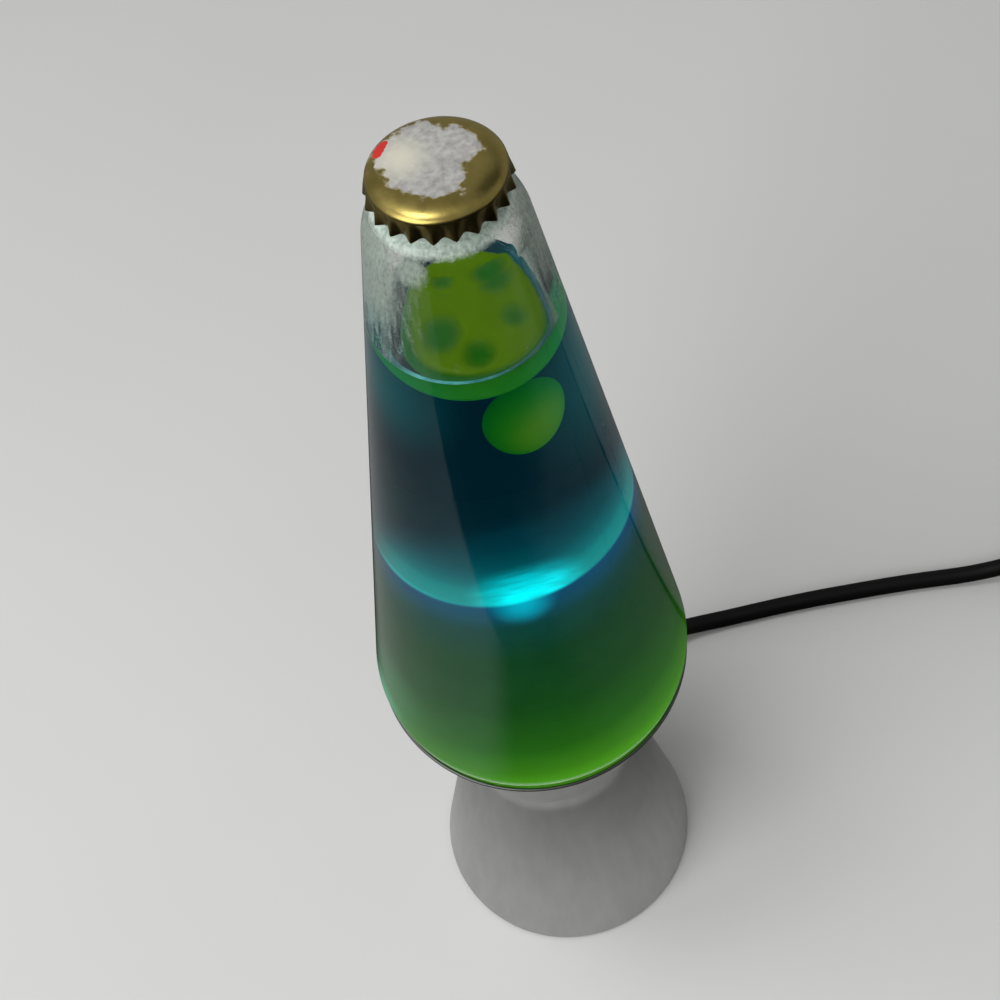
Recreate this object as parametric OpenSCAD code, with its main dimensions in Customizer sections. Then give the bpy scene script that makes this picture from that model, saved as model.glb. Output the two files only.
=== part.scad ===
// Liquid motion lamp: a sealed glass globe of dyed liquid and wax, standing in a spun
// hourglass base that holds the bulb. Millimetres, +Z up, origin under the base's centre.

/* [Base] */
// Outer radius of the foot
foot_r = 41.2; // [40:0.1:44]
// Radius at which the lines of foot and cup meet, before the waist is rounded
waist_r = 24.6; // [24:0.1:28]
// Height of the waist
waist_z = 88; // [84:0.5:92]
// Outer radius of the cup's rim
rim_r = 42.6; // [41.5:0.1:44]
// Height of the cup's rim
rim_z = 146; // [142:0.5:149]
// Sheet thickness of the base, measured level
base_wall = 1; // [0.8:0.1:1.5]
// Radius that blends the waist
waist_round = 25; // [10:1:40]
// Width of the flange rolled in under the base plate
hem_w = 4; // [3:0.5:6]
// Thickness of the base plate
plate_t = 3; // [2.5:0.1:4]
// Thickness of a rubber foot
pad_t = 1.8; // [1.6:0.1:3]
// Radius of a rubber foot
pad_r = 5; // [4:0.1:5.5]

/* [Globe] */
// Height of the globe's underside
globe_z = 104; // [102:0.5:110]
// Height at which the lower taper and the long cone meet
wide_z = 150.8; // [149:0.2:156]
// Radius at which the long cone and the shoulder meet
shoulder_r = 16; // [15.4:0.1:17]
// Height of the shoulder
shoulder_z = 335.2; // [333:0.2:337]
// Height of the lip's top
lip_z = 348; // [347:0.1:349]
// Outer radius of the lip
lip_r = 12.9; // [12.7:0.05:13]
// Radius of the mouth's bore
mouth_r = 8; // [7:0.1:9]
// Glass thickness of the walls, measured level
globe_wall = 2.6; // [2:0.1:3.5]
// Glass thickness of the floor
globe_floor = 4; // [3:0.1:5]
// Play between globe and cup, measured level
seat_gap = 0.3; // [0.25:0.05:0.6]

/* [Crown] */
// Number of flutes round the skirt
flutes = 21; // [18:1:24]
// Height of the crown
crown_h = 4.4; // [4.2:0.1:4.8]
// Sheet thickness of the crown
crown_t = 0.35; // [0.25:0.05:0.4]
// Mean radius at the skirt's lower edge
crown_r = 13.3; // [13.2:0.05:13.6]
// Depth of a flute at the lower edge, from mean to crest
flute_depth = 0.6; // [0.4:0.05:0.6]
// Thickness of the sealing liner
liner_t = 0.5; // [0.3:0.1:0.8]

/* [Contents] */
// Height of the liquid's surface
liquid_z = 307; // [304:0.5:310]
// Height of the wax pool at the wall
pool_z = 225; // [215:1:228]
// Rise of the wax pool from the wall to its middle
pool_rise = 10; // [6:0.5:12]
// Greatest width of the floating wax, under the surface
raft_w = 29.2; // [24:0.2:29.2]
// Depth of the floating wax at its middle
raft_h = 10.5; // [9:0.5:12]
// Depth at which the floating wax is widest
raft_edge = 5; // [4:0.5:7]
// Width of the free drop of wax
blob_w = 14.6; // [10:0.2:15]
// Height of the free drop of wax
blob_h = 20; // [14:0.5:22]
// Number of curls in the wire coil
curls = 36; // [24:1:48]
// Radius of one curl, to the middle of the wire
curl_r = 4; // [3:0.1:5]
// Radius of the ring that the wire coil forms
curl_ring_r = 16; // [14:0.5:18]
// Thickness of the coil's wire
wire_d = 1; // [0.8:0.1:1.4]

/* [Lamp holder] */
// Sheet thickness of the bridge
bridge_t = 1.2; // [1:0.1:1.6]
// Height of the bridge over the base plate
bridge_h = 11.2; // [10.5:0.1:12]
// Width of the bridge's strip
bridge_w = 18; // [16:0.5:20]
// Half length of the bridge's raised part
bridge_span = 15; // [14:0.5:16]
// Outer radius of the threaded tube
nipple_r = 4.9; // [4.7:0.05:5]
// Height of the lamp holder
holder_h = 38; // [36:0.5:39]
// Largest radius of the lamp holder
holder_r = 14; // [13.6:0.1:14.6]
// Radius of the holder's socket
socket_r = 8.3; // [8.2:0.05:8.6]

/* [Bulb] */
// Radius of the bulb's cap
cap_r = 6.95; // [6.8:0.01:7]
// Largest radius of the bulb's glass
bulb_r = 19.5; // [17:0.1:20]
// Length of the bulb from its contact to its face
bulb_l = 62.5; // [58:0.5:64]
// Thickness of the bulb's glass
bulb_wall = 1; // [0.6:0.1:1.2]

/* [Lead] */
// Diameter of the lead
cord_d = 6; // [5.6:0.1:6.2]
// Height at which the lead leaves the base
exit_z = 11; // [10.8:0.1:12]
// Length of the bush's taper outside the base
relief_l = 17; // [15:0.5:19]
// Turns in the coil
coil_turns = 6; // [4:1:7]
// Spacing of the coil's turns
coil_pitch = 6.6; // [6.6:0.1:7]
// Radius of the coil's innermost turn
coil_in = 27; // [24:0.5:28]
// Strap thickness of the coil's tie
tie_t = 1; // [0.8:0.1:1.2]
// Strap width of the coil's tie
tie_w = 10; // [8:0.5:14]

/* [Switch] */
// Length of the inline switch
switch_l = 62; // [60:1:62]
// Width of the inline switch
switch_w = 24; // [22:0.5:26]
// Height of the inline switch
switch_h = 16; // [16:0.5:18]
// Wall of the switch's housing
switch_wall = 2; // [1.6:0.1:2.4]
// Length of the rocker
rocker_l = 22; // [18:0.5:24]
// Width of the rocker
rocker_w = 9; // [8:0.5:10]
// Tilt of the rocker to either side
rocker_tilt = 9; // [6:0.5:10]

/* [Plug] */
// Length of the plug's body
plug_l = 36; // [34:0.5:38]
// Width of the plug's body
plug_w = 35; // [33:0.5:36]
// Thickness of the plug's body
plug_h = 13.7; // [13:0.1:14]
// Radius of a pin
pin_r = 2; // [1.9:0.05:2.1]
// Length of a pin
pin_l = 19; // [18:0.5:20]
// Spacing of the pins
pin_gap = 19; // [18:0.5:20]

/* [Hidden] */

turn_fn = 96;
hole_fn = 48;
clear = 0.2;
cord_r = cord_d / 2;

// Direction in which the lead leaves the base
exit_turn = atan2(4, 3);

// Levels in the base
hem_z = pad_t - base_wall;
plate_z = pad_t;
plate_top = plate_z + plate_t;
bridge_top = plate_top + bridge_h;

// Outer lines of foot and cup, and the globe's lines inside and above the cup
function foot_line(z) = foot_r + (waist_r - foot_r) * (z - hem_z) / (waist_z - hem_z);
function cup_line(z) = waist_r + (rim_r - waist_r) * (z - waist_z) / (rim_z - waist_z);
function seat_line(z) = cup_line(z) - base_wall - seat_gap;
wide_r = seat_line(wide_z);
function cone_line(z) = wide_r + (shoulder_r - wide_r) * (z - wide_z) / (shoulder_z - wide_z);
function inside(z, gap) = (z < wide_z ? seat_line(z) : cone_line(z)) - globe_wall - gap;

plate_gap = 0.3;
plate_r = foot_line(plate_top) - base_wall - plate_gap;
// Circle that the rubber feet and the vent slots reach out to
reach_r = foot_r - hem_w - 3.2;
pad_ring = reach_r - pad_r;
pads = 4;
slot_w = 3.2;
slot_l = 8.5;
slot_to = reach_r;
slot_from = slot_to - slot_l;
slots = 8;

// Globe
floor_z = globe_z + globe_floor;
lip_h = 2.2;
lip_round = 1.2;
// Groove under the lip, which the crown is crimped into, and the ring below it
groove_r = lip_r - lip_round - 0.2;
groove_z = lip_z - 5.2;
ring_z = lip_z - 5.8;
bore_z = lip_z - 3.4;
shoulder_round = 14;
wide_round = 12;

// Crown and liner
liner_z = lip_z + 0.05;
crown_z = liner_z + liner_t + 0.05 + crown_t;
crown_round = 2.1;
crown_top_r = lip_r + clear + crown_t;
flute_facets = 6;

// Contents
film = 0.15;
raft_z = liquid_z + 0.4;
raft_r = raft_w / 2;
raft_at = [1.2, -2.2, 0];
// Lean of its side, from the widest part to the top
raft_lean = 1.6;
raft_steps = 6;
pool_steps = 8;
pool_fall = 6;
blob_at = [6.3, -10, 284.4];
// Dimples in the floating wax: place from its middle, and radius
dimples = [[5.4, 7.4, 2.6], [-4.6, 7.8, 2.6], [-8, -3.4, 3], [-0.4, -9, 2.6], [8, -2.8, 2.6]];
dimple_lift = 1.2;
curl_z = floor_z + 0.3 + curl_r + wire_d / 2;
channel_r = curl_r + wire_d / 2 + 0.3;
curl_span = 345;
curl_rings = 8;

// Bridge, tube and holder
bridge_foot = bridge_span + 14;
bridge_bolt = bridge_span + 8;
bolt_r = 1.5;
bolt_head_r = 2.8;
bolt_head_h = 1.6;
nut_h = 2.4;
nut_across = 5.5;
nipple_bore = 3.3;
nipple_from = bridge_top - bridge_t - 3.2;
nipple_to = bridge_top + 6;
nipple_nut_h = 2.6;
nipple_nut_across = 13;
holder_base = 2.5;
holder_hollow_r = 10.8;
holder_hollow_h = 10;
holder_floor = bridge_top + holder_base + holder_hollow_h + 3;
holder_top = bridge_top + holder_h;
collar_rise = 22;
collar_z = bridge_top + collar_rise;
collar_h = 4;
sleeve_t = 0.65;
leaf_t = 0.5;
leaf_rise = 2.8;
terminal_s = 8;
terminal_z = holder_floor - 3 - 3.5;

// Bulb
bulb_z = holder_floor + leaf_rise + 0.1;
bulb_top = bulb_z + bulb_l;
contact_h = 0.7;
insulator_h = 1.8;
bulb_cap_z = bulb_z + contact_h + insulator_h;
bulb_cap_h = 19;
cap_sheet = 0.4;
bulb_neck_z = bulb_cap_z + bulb_cap_h + 2;

// Lead, clamp and bush
clamp_inset = 21.2;
clamp_from = foot_r - clamp_inset;
clamp_l = 12;
clamp_half = 7.4;
clamp_bolt = 5.2;
clamp_split = 0.8;
strap_h = 4.6;
inner_from = clamp_from - 1;
joint_s = 45;
bush_hole = 4.7;
bush_neck = bush_hole - clear;
bush_flange = 5.6;
bush_collar = 6;
bush_in = foot_line(exit_z) - base_wall - 3;
bush_out = foot_line(exit_z) + 3;
lead_d = 2.2;
lead_apart = 1.35;
lead_sides = 6;

// Route of the lead from the bush to the switch, along its middle
lead_route = [
    [27, 36, 11], [30, 40, 11], [33, 44, 11], [36, 48, 10.9], [39, 51.5, 10.4], [43, 55, 9.3],
    [48, 58, 7.7], [54, 60, 6], [61, 61, 4.5], [70, 61.6, 3.4], [80, 62, 3.1], [92, 62.3, 3],
    [104, 62.3, 3], [116, 62, 3], [128, 61.6, 3], [140, 61, 3], [150, 60.2, 3.1],
    [159, 59.3, 3.7], [167, 58.6, 5.1], [175, 58.1, 7], [183, 58, 8], [190, 58, 8]
];
// Route from the switch to the coil
tail_route = [
    [252, 58, 8], [259, 58, 8], [266, 58, 7.2], [273, 57.8, 5.6], [280, 57.5, 4.6], [286, 57.5, 4.4]
];
// Route from the coil to the plug
end_route = [
    [298, 57.5, 11], [300, 57.5, 11], [305, 57.5, 10.7], [310, 57.3, 9.9], [314, 56.7, 8.8],
    [318, 55.7, 7.9], [322, 54.3, 7.4], [326, 53.3, 7.2], [330, 52.7, 7.2], [334, 52.5, 7.2],
    [340, 52.5, 7.2]
];
cord_sides = 8;
coil_sides = 6;
coil_rings = 24;

// Inline switch
switch_at = [221, 58];
switch_split = switch_h / 2;
switch_neck = 7.5;
pivot_z = switch_h - 3.6;
pivot_r = 1.5;
pivot_clear = 0.08;
rocker_hub = 4.6;
rocker_gap = 0.6;
rocker_rise = 4.8;
rocker_dip = 3.6;
ear_t = 1.6;
switch_bolt = [switch_l / 2 - 9, 0];

// Coil and its tie
coil_half = coil_turns / 2;
coil_out = coil_in + coil_half * coil_pitch;
coil_lift = cord_r + tie_t + 0.4;
coil_end = cord_d;
coil_from = tail_route[len(tail_route) - 1];
coil_at = [coil_from[0] + coil_end, coil_from[1] - coil_out];
tie_play = 0.7;

// Plug
plug_at = end_route[len(end_route) - 1];
plug_mid = plug_h / 2 + 0.35;
pin_tail = 8;
pin_tail_r = pin_r - 0.5;

// Outlines and sweeps

function unit(v) = v / norm(v);

// Arc of radius p[2] in the corner at p, between the lines towards a and b
function arc_corner(a, p, b, steps) =
    let (
        corner = [p[0], p[1]],
        u = unit([a[0], a[1]] - corner),
        v = unit([b[0], b[1]] - corner),
        half = acos(u * v) / 2,
        first = corner + u * p[2] / tan(half),
        last = corner + v * p[2] / tan(half),
        middle = corner + unit(u + v) * p[2] / sin(half),
        from = atan2(first[1] - middle[1], first[0] - middle[0]),
        to = atan2(last[1] - middle[1], last[0] - middle[0]),
        sweep = (to - from + 900) % 360 - 180
    )
    [for (i = [0:steps]) middle + p[2] * [cos(from + sweep * i / steps), sin(from + sweep * i / steps)]];

// Outline through corners of [x, y, radius], rounding those that have a radius
function rounded(corners, steps = 6) =
    let (n = len(corners))
    [
        for (i = [0:n - 1])
            each corners[i][2] > 0
                ? arc_corner(corners[(i + n - 1) % n], corners[i], corners[(i + 1) % n], steps)
                : [[corners[i][0], corners[i][1]]]
    ];

module turned(corners, steps = 6) {
    rotate_extrude($fn = turn_fn) polygon(rounded(corners, steps));
}

// Direction of a path at point i
function heading(path, i) =
    let (n = len(path))
    unit(path[min(i + 1, n - 1)] - path[max(i - 1, 0)]);

// Ring of a tube at point i, its first corner turned away from the reference direction
function tube_ring(path, refs, i, r, sides) =
    let (
        t = heading(path, i),
        n = unit(refs[i] - (refs[i] * t) * t),
        b = cross(t, n)
    )
    [
        for (k = [0:sides - 1])
            let (a = 360 * (k + 0.5) / sides)
            path[i] + r * (cos(a) * n + sin(a) * b)
    ];

// Triangles that join rings of the same count, and the fans that close the two ends
function ring_faces(rings, sides) =
    [
        for (i = [0:rings - 2], k = [0:sides - 1])
            let (a = i * sides + k, b = i * sides + (k + 1) % sides)
            each [[a, a + sides, b], [b, a + sides, b + sides]]
    ];
function fan(first, sides, flip) =
    [
        for (k = [1:sides - 2])
            flip ? [first, first + k + 1, first + k] : [first, first + k, first + k + 1]
    ];

module tube(path, refs, r, sides) {
    n = len(path);
    points = [for (i = [0:n - 1]) each tube_ring(path, refs, i, r, sides)];
    faces = concat(ring_faces(n, sides), fan(0, sides, false), fan((n - 1) * sides, sides, true));
    polyhedron(points, faces);
}

function upward(path) = [for (p = path) [0, 0, 1]];

// Places a shape that runs along +Z so that it runs out along the lead's exit
module along_exit() {
    rotate([0, 0, exit_turn]) translate([0, 0, exit_z]) rotate([0, 90, 0]) children();
}

// Globe and what it holds

module globe_glass() {
    color([0.85, 0.92, 0.9, 0.35])
    difference() {
        turned([
            [0, globe_z, 0],
            [seat_line(globe_z), globe_z, 4],
            [wide_r, wide_z, wide_round],
            [shoulder_r, shoulder_z, shoulder_round],
            [lip_r, ring_z, 0.5],
            [groove_r, groove_z, 0.4],
            [groove_r, lip_z - lip_h, 0.1],
            [lip_r, lip_z - lip_h, lip_round],
            [lip_r, lip_z, 0.8],
            [0, lip_z, 0]
        ], 8);
        turned([
            [0, floor_z, 0],
            [inside(floor_z, 0), floor_z, 4],
            [inside(wide_z, 0), wide_z, wide_round - globe_wall],
            [shoulder_r - globe_wall, shoulder_z, shoulder_round],
            [lip_r - globe_wall, ring_z, 2],
            [mouth_r, bore_z, 1],
            [mouth_r, lip_z + 1, 0],
            [0, lip_z + 1, 0]
        ], 8);
    }
}

// Crown: rings of [mean radius, height under the top, flute depth]
function crown_rings(inset) =
    let (
        drop = crown_h - inset / 4,
        corner_r = crown_round - inset,
        skirt = crown_h - crown_round
    )
    [
        for (a = [0:30:90])
            [crown_top_r - crown_round + corner_r * sin(a), crown_round - corner_r * cos(a), 0],
        for (s = [0.3, 0.55, 0.78, 1])
            [
                crown_top_r + (crown_r - crown_top_r) * s - inset,
                crown_round + (drop - crown_round) * s,
                flute_depth * pow(s, 1.3)
            ]
    ];

function crown_loop(ring, count) =
    [
        for (k = [0:count - 1])
            let (a = 360 * k / count, r = ring[0] + ring[2] * cos(flutes * a))
            [r * cos(a), r * sin(a), crown_z - ring[1]]
    ];

module crown_cap() {
    outer = crown_rings(0);
    inner = crown_rings(crown_t);
    n = len(outer);
    count = flutes * flute_facets;
    loops = concat(outer, [for (i = [n - 1:-1:0]) inner[i]]);
    points = [for (ring = loops) each crown_loop(ring, count)];
    faces = concat(ring_faces(2 * n, count), fan(0, count, false), fan((2 * n - 1) * count, count, true));
    color([0.6, 0.5, 0.22]) polyhedron(points, [for (f = faces) [f[0], f[2], f[1]]]);
}

module cap_liner() {
    color([0.8, 0.8, 0.78])
    translate([0, 0, liner_z]) cylinder(r = crown_top_r - crown_round - 0.1, h = liner_t, $fn = turn_fn);
}

// Height of the wax pool and of the raft's underside at radius r
function pool_top(r) = pool_z + pool_rise * (1 - pow(r / inside(pool_z, film), pool_fall));
function raft_under(r) = raft_z - raft_edge - (raft_h - raft_edge) * (1 - pow(r / raft_r, 2));

module wax_pool() {
    gap = 2 * film;
    edge = inside(pool_z, gap);
    color([0.25, 0.55, 0.1])
    difference() {
        turned(concat(
            [
                [0, floor_z + gap, 0],
                [inside(floor_z + gap, gap), floor_z + gap, 4],
                [inside(wide_z, gap), wide_z, wide_round - globe_wall - gap],
                [edge, pool_z, 0]
            ],
            [for (i = [1:pool_steps]) let (r = edge * sqrt(1 - i / pool_steps)) [r, pool_top(r), 0]]
        ));
        translate([0, 0, curl_z])
        rotate_extrude($fn = turn_fn) translate([curl_ring_r, 0]) circle(r = channel_r, $fn = hole_fn);
    }
}

// Floating wax without its dimples, grown by a gap, its top raised by lift
module raft_body(grow, lift) {
    r_edge = raft_r + grow;
    turned(concat(
        [
            for (i = [0:raft_steps])
                let (r = r_edge * i / raft_steps)
                [r, raft_under(r * raft_r / r_edge) - grow, 0]
        ],
        [[r_edge - raft_lean, raft_z + lift, 1.5], [0, raft_z + lift, 0]]
    ));
}

module wax_raft() {
    color([0.5, 0.6, 0.1])
    translate(raft_at)
    difference() {
        raft_body(0, 0);
        for (d = dimples) translate([d[0], d[1], raft_z + dimple_lift]) sphere(r = d[2], $fn = hole_fn);
    }
}

module drop(grow) {
    steps = 12;
    rotate_extrude($fn = turn_fn)
    polygon([
        for (i = [0:steps])
            let (a = 180 * i / steps - 90)
            [(blob_w / 2 + grow) * cos(a), (blob_h / 2 + grow) * sin(a)]
    ]);
}

module wax_blob() {
    color([0.45, 0.58, 0.12]) translate(blob_at) drop(0);
}

module liquid() {
    edge = inside(pool_z + film, film);
    color([0.05, 0.35, 0.5, 0.5])
    difference() {
        rotate_extrude($fn = turn_fn)
        polygon(concat(
            [for (i = [0:pool_steps]) let (r = edge * sqrt(i / pool_steps)) [r, pool_top(r) + 2 * film]],
            [[inside(liquid_z, film), liquid_z], [0, liquid_z]]
        ));
        translate(raft_at) raft_body(clear, 4);
        translate(blob_at) drop(clear);
    }
}

// Middle of the coil's wire, and the direction of its ring there
function curl_point(i, total) =
    let (turn = curl_span * i / total, a = 360 * curls * i / total, r = curl_ring_r + curl_r * cos(a))
    [r * cos(turn), r * sin(turn), curl_z + curl_r * sin(a)];

module element_coil() {
    total = curls * curl_rings;
    path = [for (i = [0:total]) curl_point(i, total)];
    refs = [for (i = [0:total]) [-sin(curl_span * i / total), cos(curl_span * i / total), 0]];
    color([0.7, 0.72, 0.72]) tube(path, refs, wire_d / 2, 6);
}

// Base

module base_shell() {
    inner_round = waist_round + base_wall;
    color([0.62, 0.62, 0.6])
    difference() {
        turned([
            [foot_r - hem_w, hem_z, 0],
            [foot_r, hem_z, 0.6],
            [waist_r, waist_z, waist_round],
            [rim_r, rim_z, 0.45],
            [rim_r - base_wall, rim_z, 0.45],
            [waist_r - base_wall, waist_z, inner_round],
            [foot_line(plate_z) - base_wall, plate_z, 0],
            [foot_r - hem_w, plate_z, 0]
        ]);
        along_exit() translate([0, 0, bush_in])
        cylinder(r = bush_hole, h = bush_out - bush_in, $fn = hole_fn);
    }
}

// Vent slot with round ends, along +X
module slot(h) {
    translate([slot_from, -slot_w / 2, 0]) cube([slot_to - slot_from, slot_w, h]);
    for (x = [slot_from, slot_to]) translate([x, 0, 0]) cylinder(d = slot_w, h = h, $fn = hole_fn);
}

module base_plate() {
    color([0.12, 0.12, 0.13])
    difference() {
        union() {
            translate([0, 0, plate_z]) cylinder(r = plate_r, h = plate_t, $fn = turn_fn);
            rotate([0, 0, exit_turn])
            translate([clamp_from, -clamp_half, plate_z])
            cube([clamp_l, 2 * clamp_half, exit_z - clamp_split / 2 - plate_z]);
        }
        rotate([0, 0, exit_turn]) {
            for (k = [0:slots - 1])
                rotate([0, 0, 360 * (k + 0.5) / slots]) translate([0, 0, plate_z - 1]) slot(plate_t + 2);
            for (side = [-1, 1]) {
                translate([0, side * bridge_bolt, plate_z - 1]) {
                    cylinder(r = bolt_r + clear, h = plate_t + 2, $fn = hole_fn);
                    cylinder(r = bolt_head_r + clear, h = bolt_head_h + 1.1, $fn = hole_fn);
                }
                translate([clamp_from + clamp_l / 2, side * clamp_bolt, plate_z + 1])
                cylinder(r = 1.1 + clear / 2, h = exit_z, $fn = hole_fn);
            }
        }
        along_exit() translate([0, 0, clamp_from - 1])
        cylinder(r = cord_r + clear, h = clamp_l + 2, $fn = hole_fn);
    }
}

module feet() {
    color([0.08, 0.08, 0.08])
    rotate([0, 0, exit_turn + 180 / pads])
    for (k = [0:pads - 1])
        rotate([0, 0, 360 * k / pads]) translate([pad_ring, 0, 0])
        turned([[0, 0, 0], [pad_r - 0.4, 0, 0.4], [pad_r, pad_t, 0], [0, pad_t, 0]]);
}

module holder_bracket() {
    side = [
        [-bridge_foot, plate_top + bridge_t, 0],
        [-bridge_span, plate_top + bridge_t, 1],
        [-bridge_span, bridge_top, 2],
        [bridge_span, bridge_top, 2],
        [bridge_span, plate_top + bridge_t, 1],
        [bridge_foot, plate_top + bridge_t, 0],
        [bridge_foot, plate_top, 0],
        [bridge_span - bridge_t, plate_top, 1 + bridge_t],
        [bridge_span - bridge_t, bridge_top - bridge_t, 2 - bridge_t],
        [-bridge_span + bridge_t, bridge_top - bridge_t, 2 - bridge_t],
        [-bridge_span + bridge_t, plate_top, 1 + bridge_t],
        [-bridge_foot, plate_top, 0]
    ];
    color([0.7, 0.71, 0.72])
    rotate([0, 0, exit_turn - 90])
    difference() {
        translate([0, bridge_w / 2, 0]) rotate([90, 0, 0])
        linear_extrude(bridge_w) polygon(rounded(side));
        translate([0, 0, bridge_top - 3]) cylinder(r = nipple_r + clear, h = 6, $fn = hole_fn);
        for (s = [-1, 1])
            translate([s * bridge_bolt, 0, plate_top - 1])
            cylinder(r = bolt_r + clear, h = 4, $fn = hole_fn);
    }
}

module at_bridge_bolts() {
    rotate([0, 0, exit_turn]) for (side = [-1, 1]) translate([0, side * bridge_bolt, 0]) children();
}

module bracket_screws() {
    color([0.75, 0.75, 0.75])
    at_bridge_bolts() {
        translate([0, 0, plate_z + 0.1]) cylinder(r = bolt_head_r, h = bolt_head_h - 0.1, $fn = hole_fn);
        translate([0, 0, plate_z + 0.1])
        cylinder(r = bolt_r, h = plate_t + bridge_t + nut_h + 1, $fn = hole_fn);
    }
}

module bracket_nuts() {
    color([0.75, 0.75, 0.75])
    at_bridge_bolts()
    translate([0, 0, plate_top + bridge_t])
    difference() {
        cylinder(d = nut_across / cos(30), h = nut_h, $fn = 6);
        translate([0, 0, -1]) cylinder(r = bolt_r + 0.05, h = nut_h + 2, $fn = hole_fn);
    }
}

module nipple() {
    color([0.72, 0.6, 0.3])
    translate([0, 0, nipple_from])
    difference() {
        cylinder(r = nipple_r, h = nipple_to - nipple_from, $fn = hole_fn);
        translate([0, 0, -1]) cylinder(r = nipple_bore, h = nipple_to - nipple_from + 2, $fn = hole_fn);
    }
}

module nipple_nut() {
    color([0.72, 0.6, 0.3])
    translate([0, 0, bridge_top - bridge_t - nipple_nut_h])
    difference() {
        cylinder(d = nipple_nut_across / cos(30), h = nipple_nut_h, $fn = 6);
        translate([0, 0, -1]) cylinder(r = nipple_r + 0.05, h = nipple_nut_h + 2, $fn = hole_fn);
    }
}

module lampholder() {
    body_r = holder_r - 0.8;
    skirt_r = socket_r + 3;
    color([0.1, 0.1, 0.11])
    difference() {
        turned([
            [0, bridge_top, 0],
            [body_r - 3.5, bridge_top, 1],
            [body_r, bridge_top + 5, 3],
            [body_r, collar_z, 0.3],
            [holder_r, collar_z, 0.4],
            [holder_r, collar_z + collar_h, 0.4],
            [skirt_r, collar_z + collar_h, 0.4],
            [skirt_r, holder_top, 0.8],
            [0, holder_top, 0]
        ]);
        translate([0, 0, bridge_top - 1])
        cylinder(r = nipple_r + 0.05, h = holder_base + 2, $fn = hole_fn);
        translate([0, 0, bridge_top + holder_base])
        cylinder(r = holder_hollow_r, h = holder_hollow_h, $fn = turn_fn);
        translate([0, 0, holder_floor]) cylinder(r = socket_r, h = holder_h, $fn = turn_fn);
    }
}

module holder_sleeve() {
    r = socket_r - 0.15;
    from = holder_floor + 0.1;
    h = holder_top - from - 2;
    color([0.75, 0.62, 0.3])
    translate([0, 0, from])
    difference() {
        cylinder(r = r, h = h, $fn = turn_fn);
        translate([0, 0, -1]) cylinder(r = r - sleeve_t, h = h + 2, $fn = turn_fn);
    }
}

module holder_contact() {
    w = 4;
    reach = socket_r - sleeve_t - 1.2;
    side = [
        [-reach, holder_floor, 0],
        [-3, holder_floor, 1],
        [-1.5, holder_floor + leaf_rise - leaf_t, 0.6],
        [1.5, holder_floor + leaf_rise - leaf_t, 0],
        [1.5, holder_floor + leaf_rise, 0],
        [-1.9, holder_floor + leaf_rise, 1],
        [-3.4, holder_floor + leaf_t, 0.4],
        [-reach, holder_floor + leaf_t, 0]
    ];
    color([0.75, 0.62, 0.3]) translate([0, w / 2, 0]) rotate([90, 0, 0])
    linear_extrude(w) polygon(rounded(side));
}

module terminal_screws() {
    color([0.75, 0.62, 0.3])
    rotate([0, 0, exit_turn])
    for (side = [-1, 1])
        translate([side * terminal_s, 0, terminal_z]) {
            cylinder(r = 1.2, h = holder_floor - 3 - terminal_z, $fn = hole_fn);
            cylinder(r = 2.1, h = 1.4, $fn = hole_fn);
        }
}

// Bulb

// Outline of the bulb's glass, drawn in by the glass thickness
function bulb_outline(inset) =
    [
        [0, bulb_cap_z + 6 + inset, 0],
        [cap_r - cap_sheet - 0.2 - inset, bulb_cap_z + 6 + inset, 1],
        [cap_r - cap_sheet - 0.2 - inset, bulb_neck_z, 6 + inset],
        [bulb_r - inset, bulb_top - 14, 5 - inset],
        [bulb_r - inset, bulb_top - 8, 4 - inset],
        [bulb_r * 0.6, bulb_top - 1.6 - inset, 14 - inset],
        [0, bulb_top - inset, 0]
    ];

module bulb_glass() {
    color([0.9, 0.9, 0.86, 0.6])
    difference() {
        turned(bulb_outline(0));
        turned(bulb_outline(bulb_wall));
    }
}

module bulb_mount() {
    stem_z = bulb_cap_z + 6 + bulb_wall + 0.2;
    wire_z = bulb_neck_z + 2;
    hot_z = bulb_neck_z + 14;
    hot_r = 4;
    color([0.8, 0.8, 0.78]) {
        translate([0, 0, stem_z]) cylinder(r = 2, h = wire_z - stem_z + 1, $fn = hole_fn);
        translate([-hot_r, 0, wire_z]) rotate([0, 90, 0]) cylinder(r = 0.6, h = 2 * hot_r, $fn = hole_fn);
        for (side = [-1, 1]) translate([side * hot_r, 0, wire_z])
        cylinder(r = 0.4, h = hot_z - wire_z, $fn = hole_fn);
        translate([0, 0, hot_z]) rotate_extrude(angle = 180, $fn = turn_fn) translate([hot_r, 0])
        circle(r = 0.5, $fn = 24);
    }
}

module bulb_cap() {
    r = cap_r - cap_sheet;
    color([0.78, 0.78, 0.76])
    difference() {
        turned([
            [0, bulb_cap_z, 0],
            [4.4, bulb_cap_z, 0],
            [cap_r, bulb_cap_z + 2.5, 1],
            [cap_r, bulb_cap_z + bulb_cap_h, 0],
            [0, bulb_cap_z + bulb_cap_h, 0]
        ]);
        turned([
            [0, bulb_cap_z - 1, 0],
            [4, bulb_cap_z - 1, 0],
            [4, bulb_cap_z + 0.4, 0],
            [r, bulb_cap_z + 2.8, 0.8],
            [r, bulb_cap_z + bulb_cap_h + 1, 0],
            [0, bulb_cap_z + bulb_cap_h + 1, 0]
        ]);
    }
}

module bulb_insulator() {
    color([0.06, 0.06, 0.07])
    translate([0, 0, bulb_z + contact_h]) cylinder(r1 = 2.8, r2 = 4.3, h = insulator_h, $fn = turn_fn);
}

module bulb_contact() {
    color([0.75, 0.75, 0.76])
    turned([[0, bulb_z, 0], [2.3, bulb_z, 0.5], [2.3, bulb_z + contact_h, 0],
    [0, bulb_z + contact_h, 0]]);
}

// Wires, clamp and bush

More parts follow.
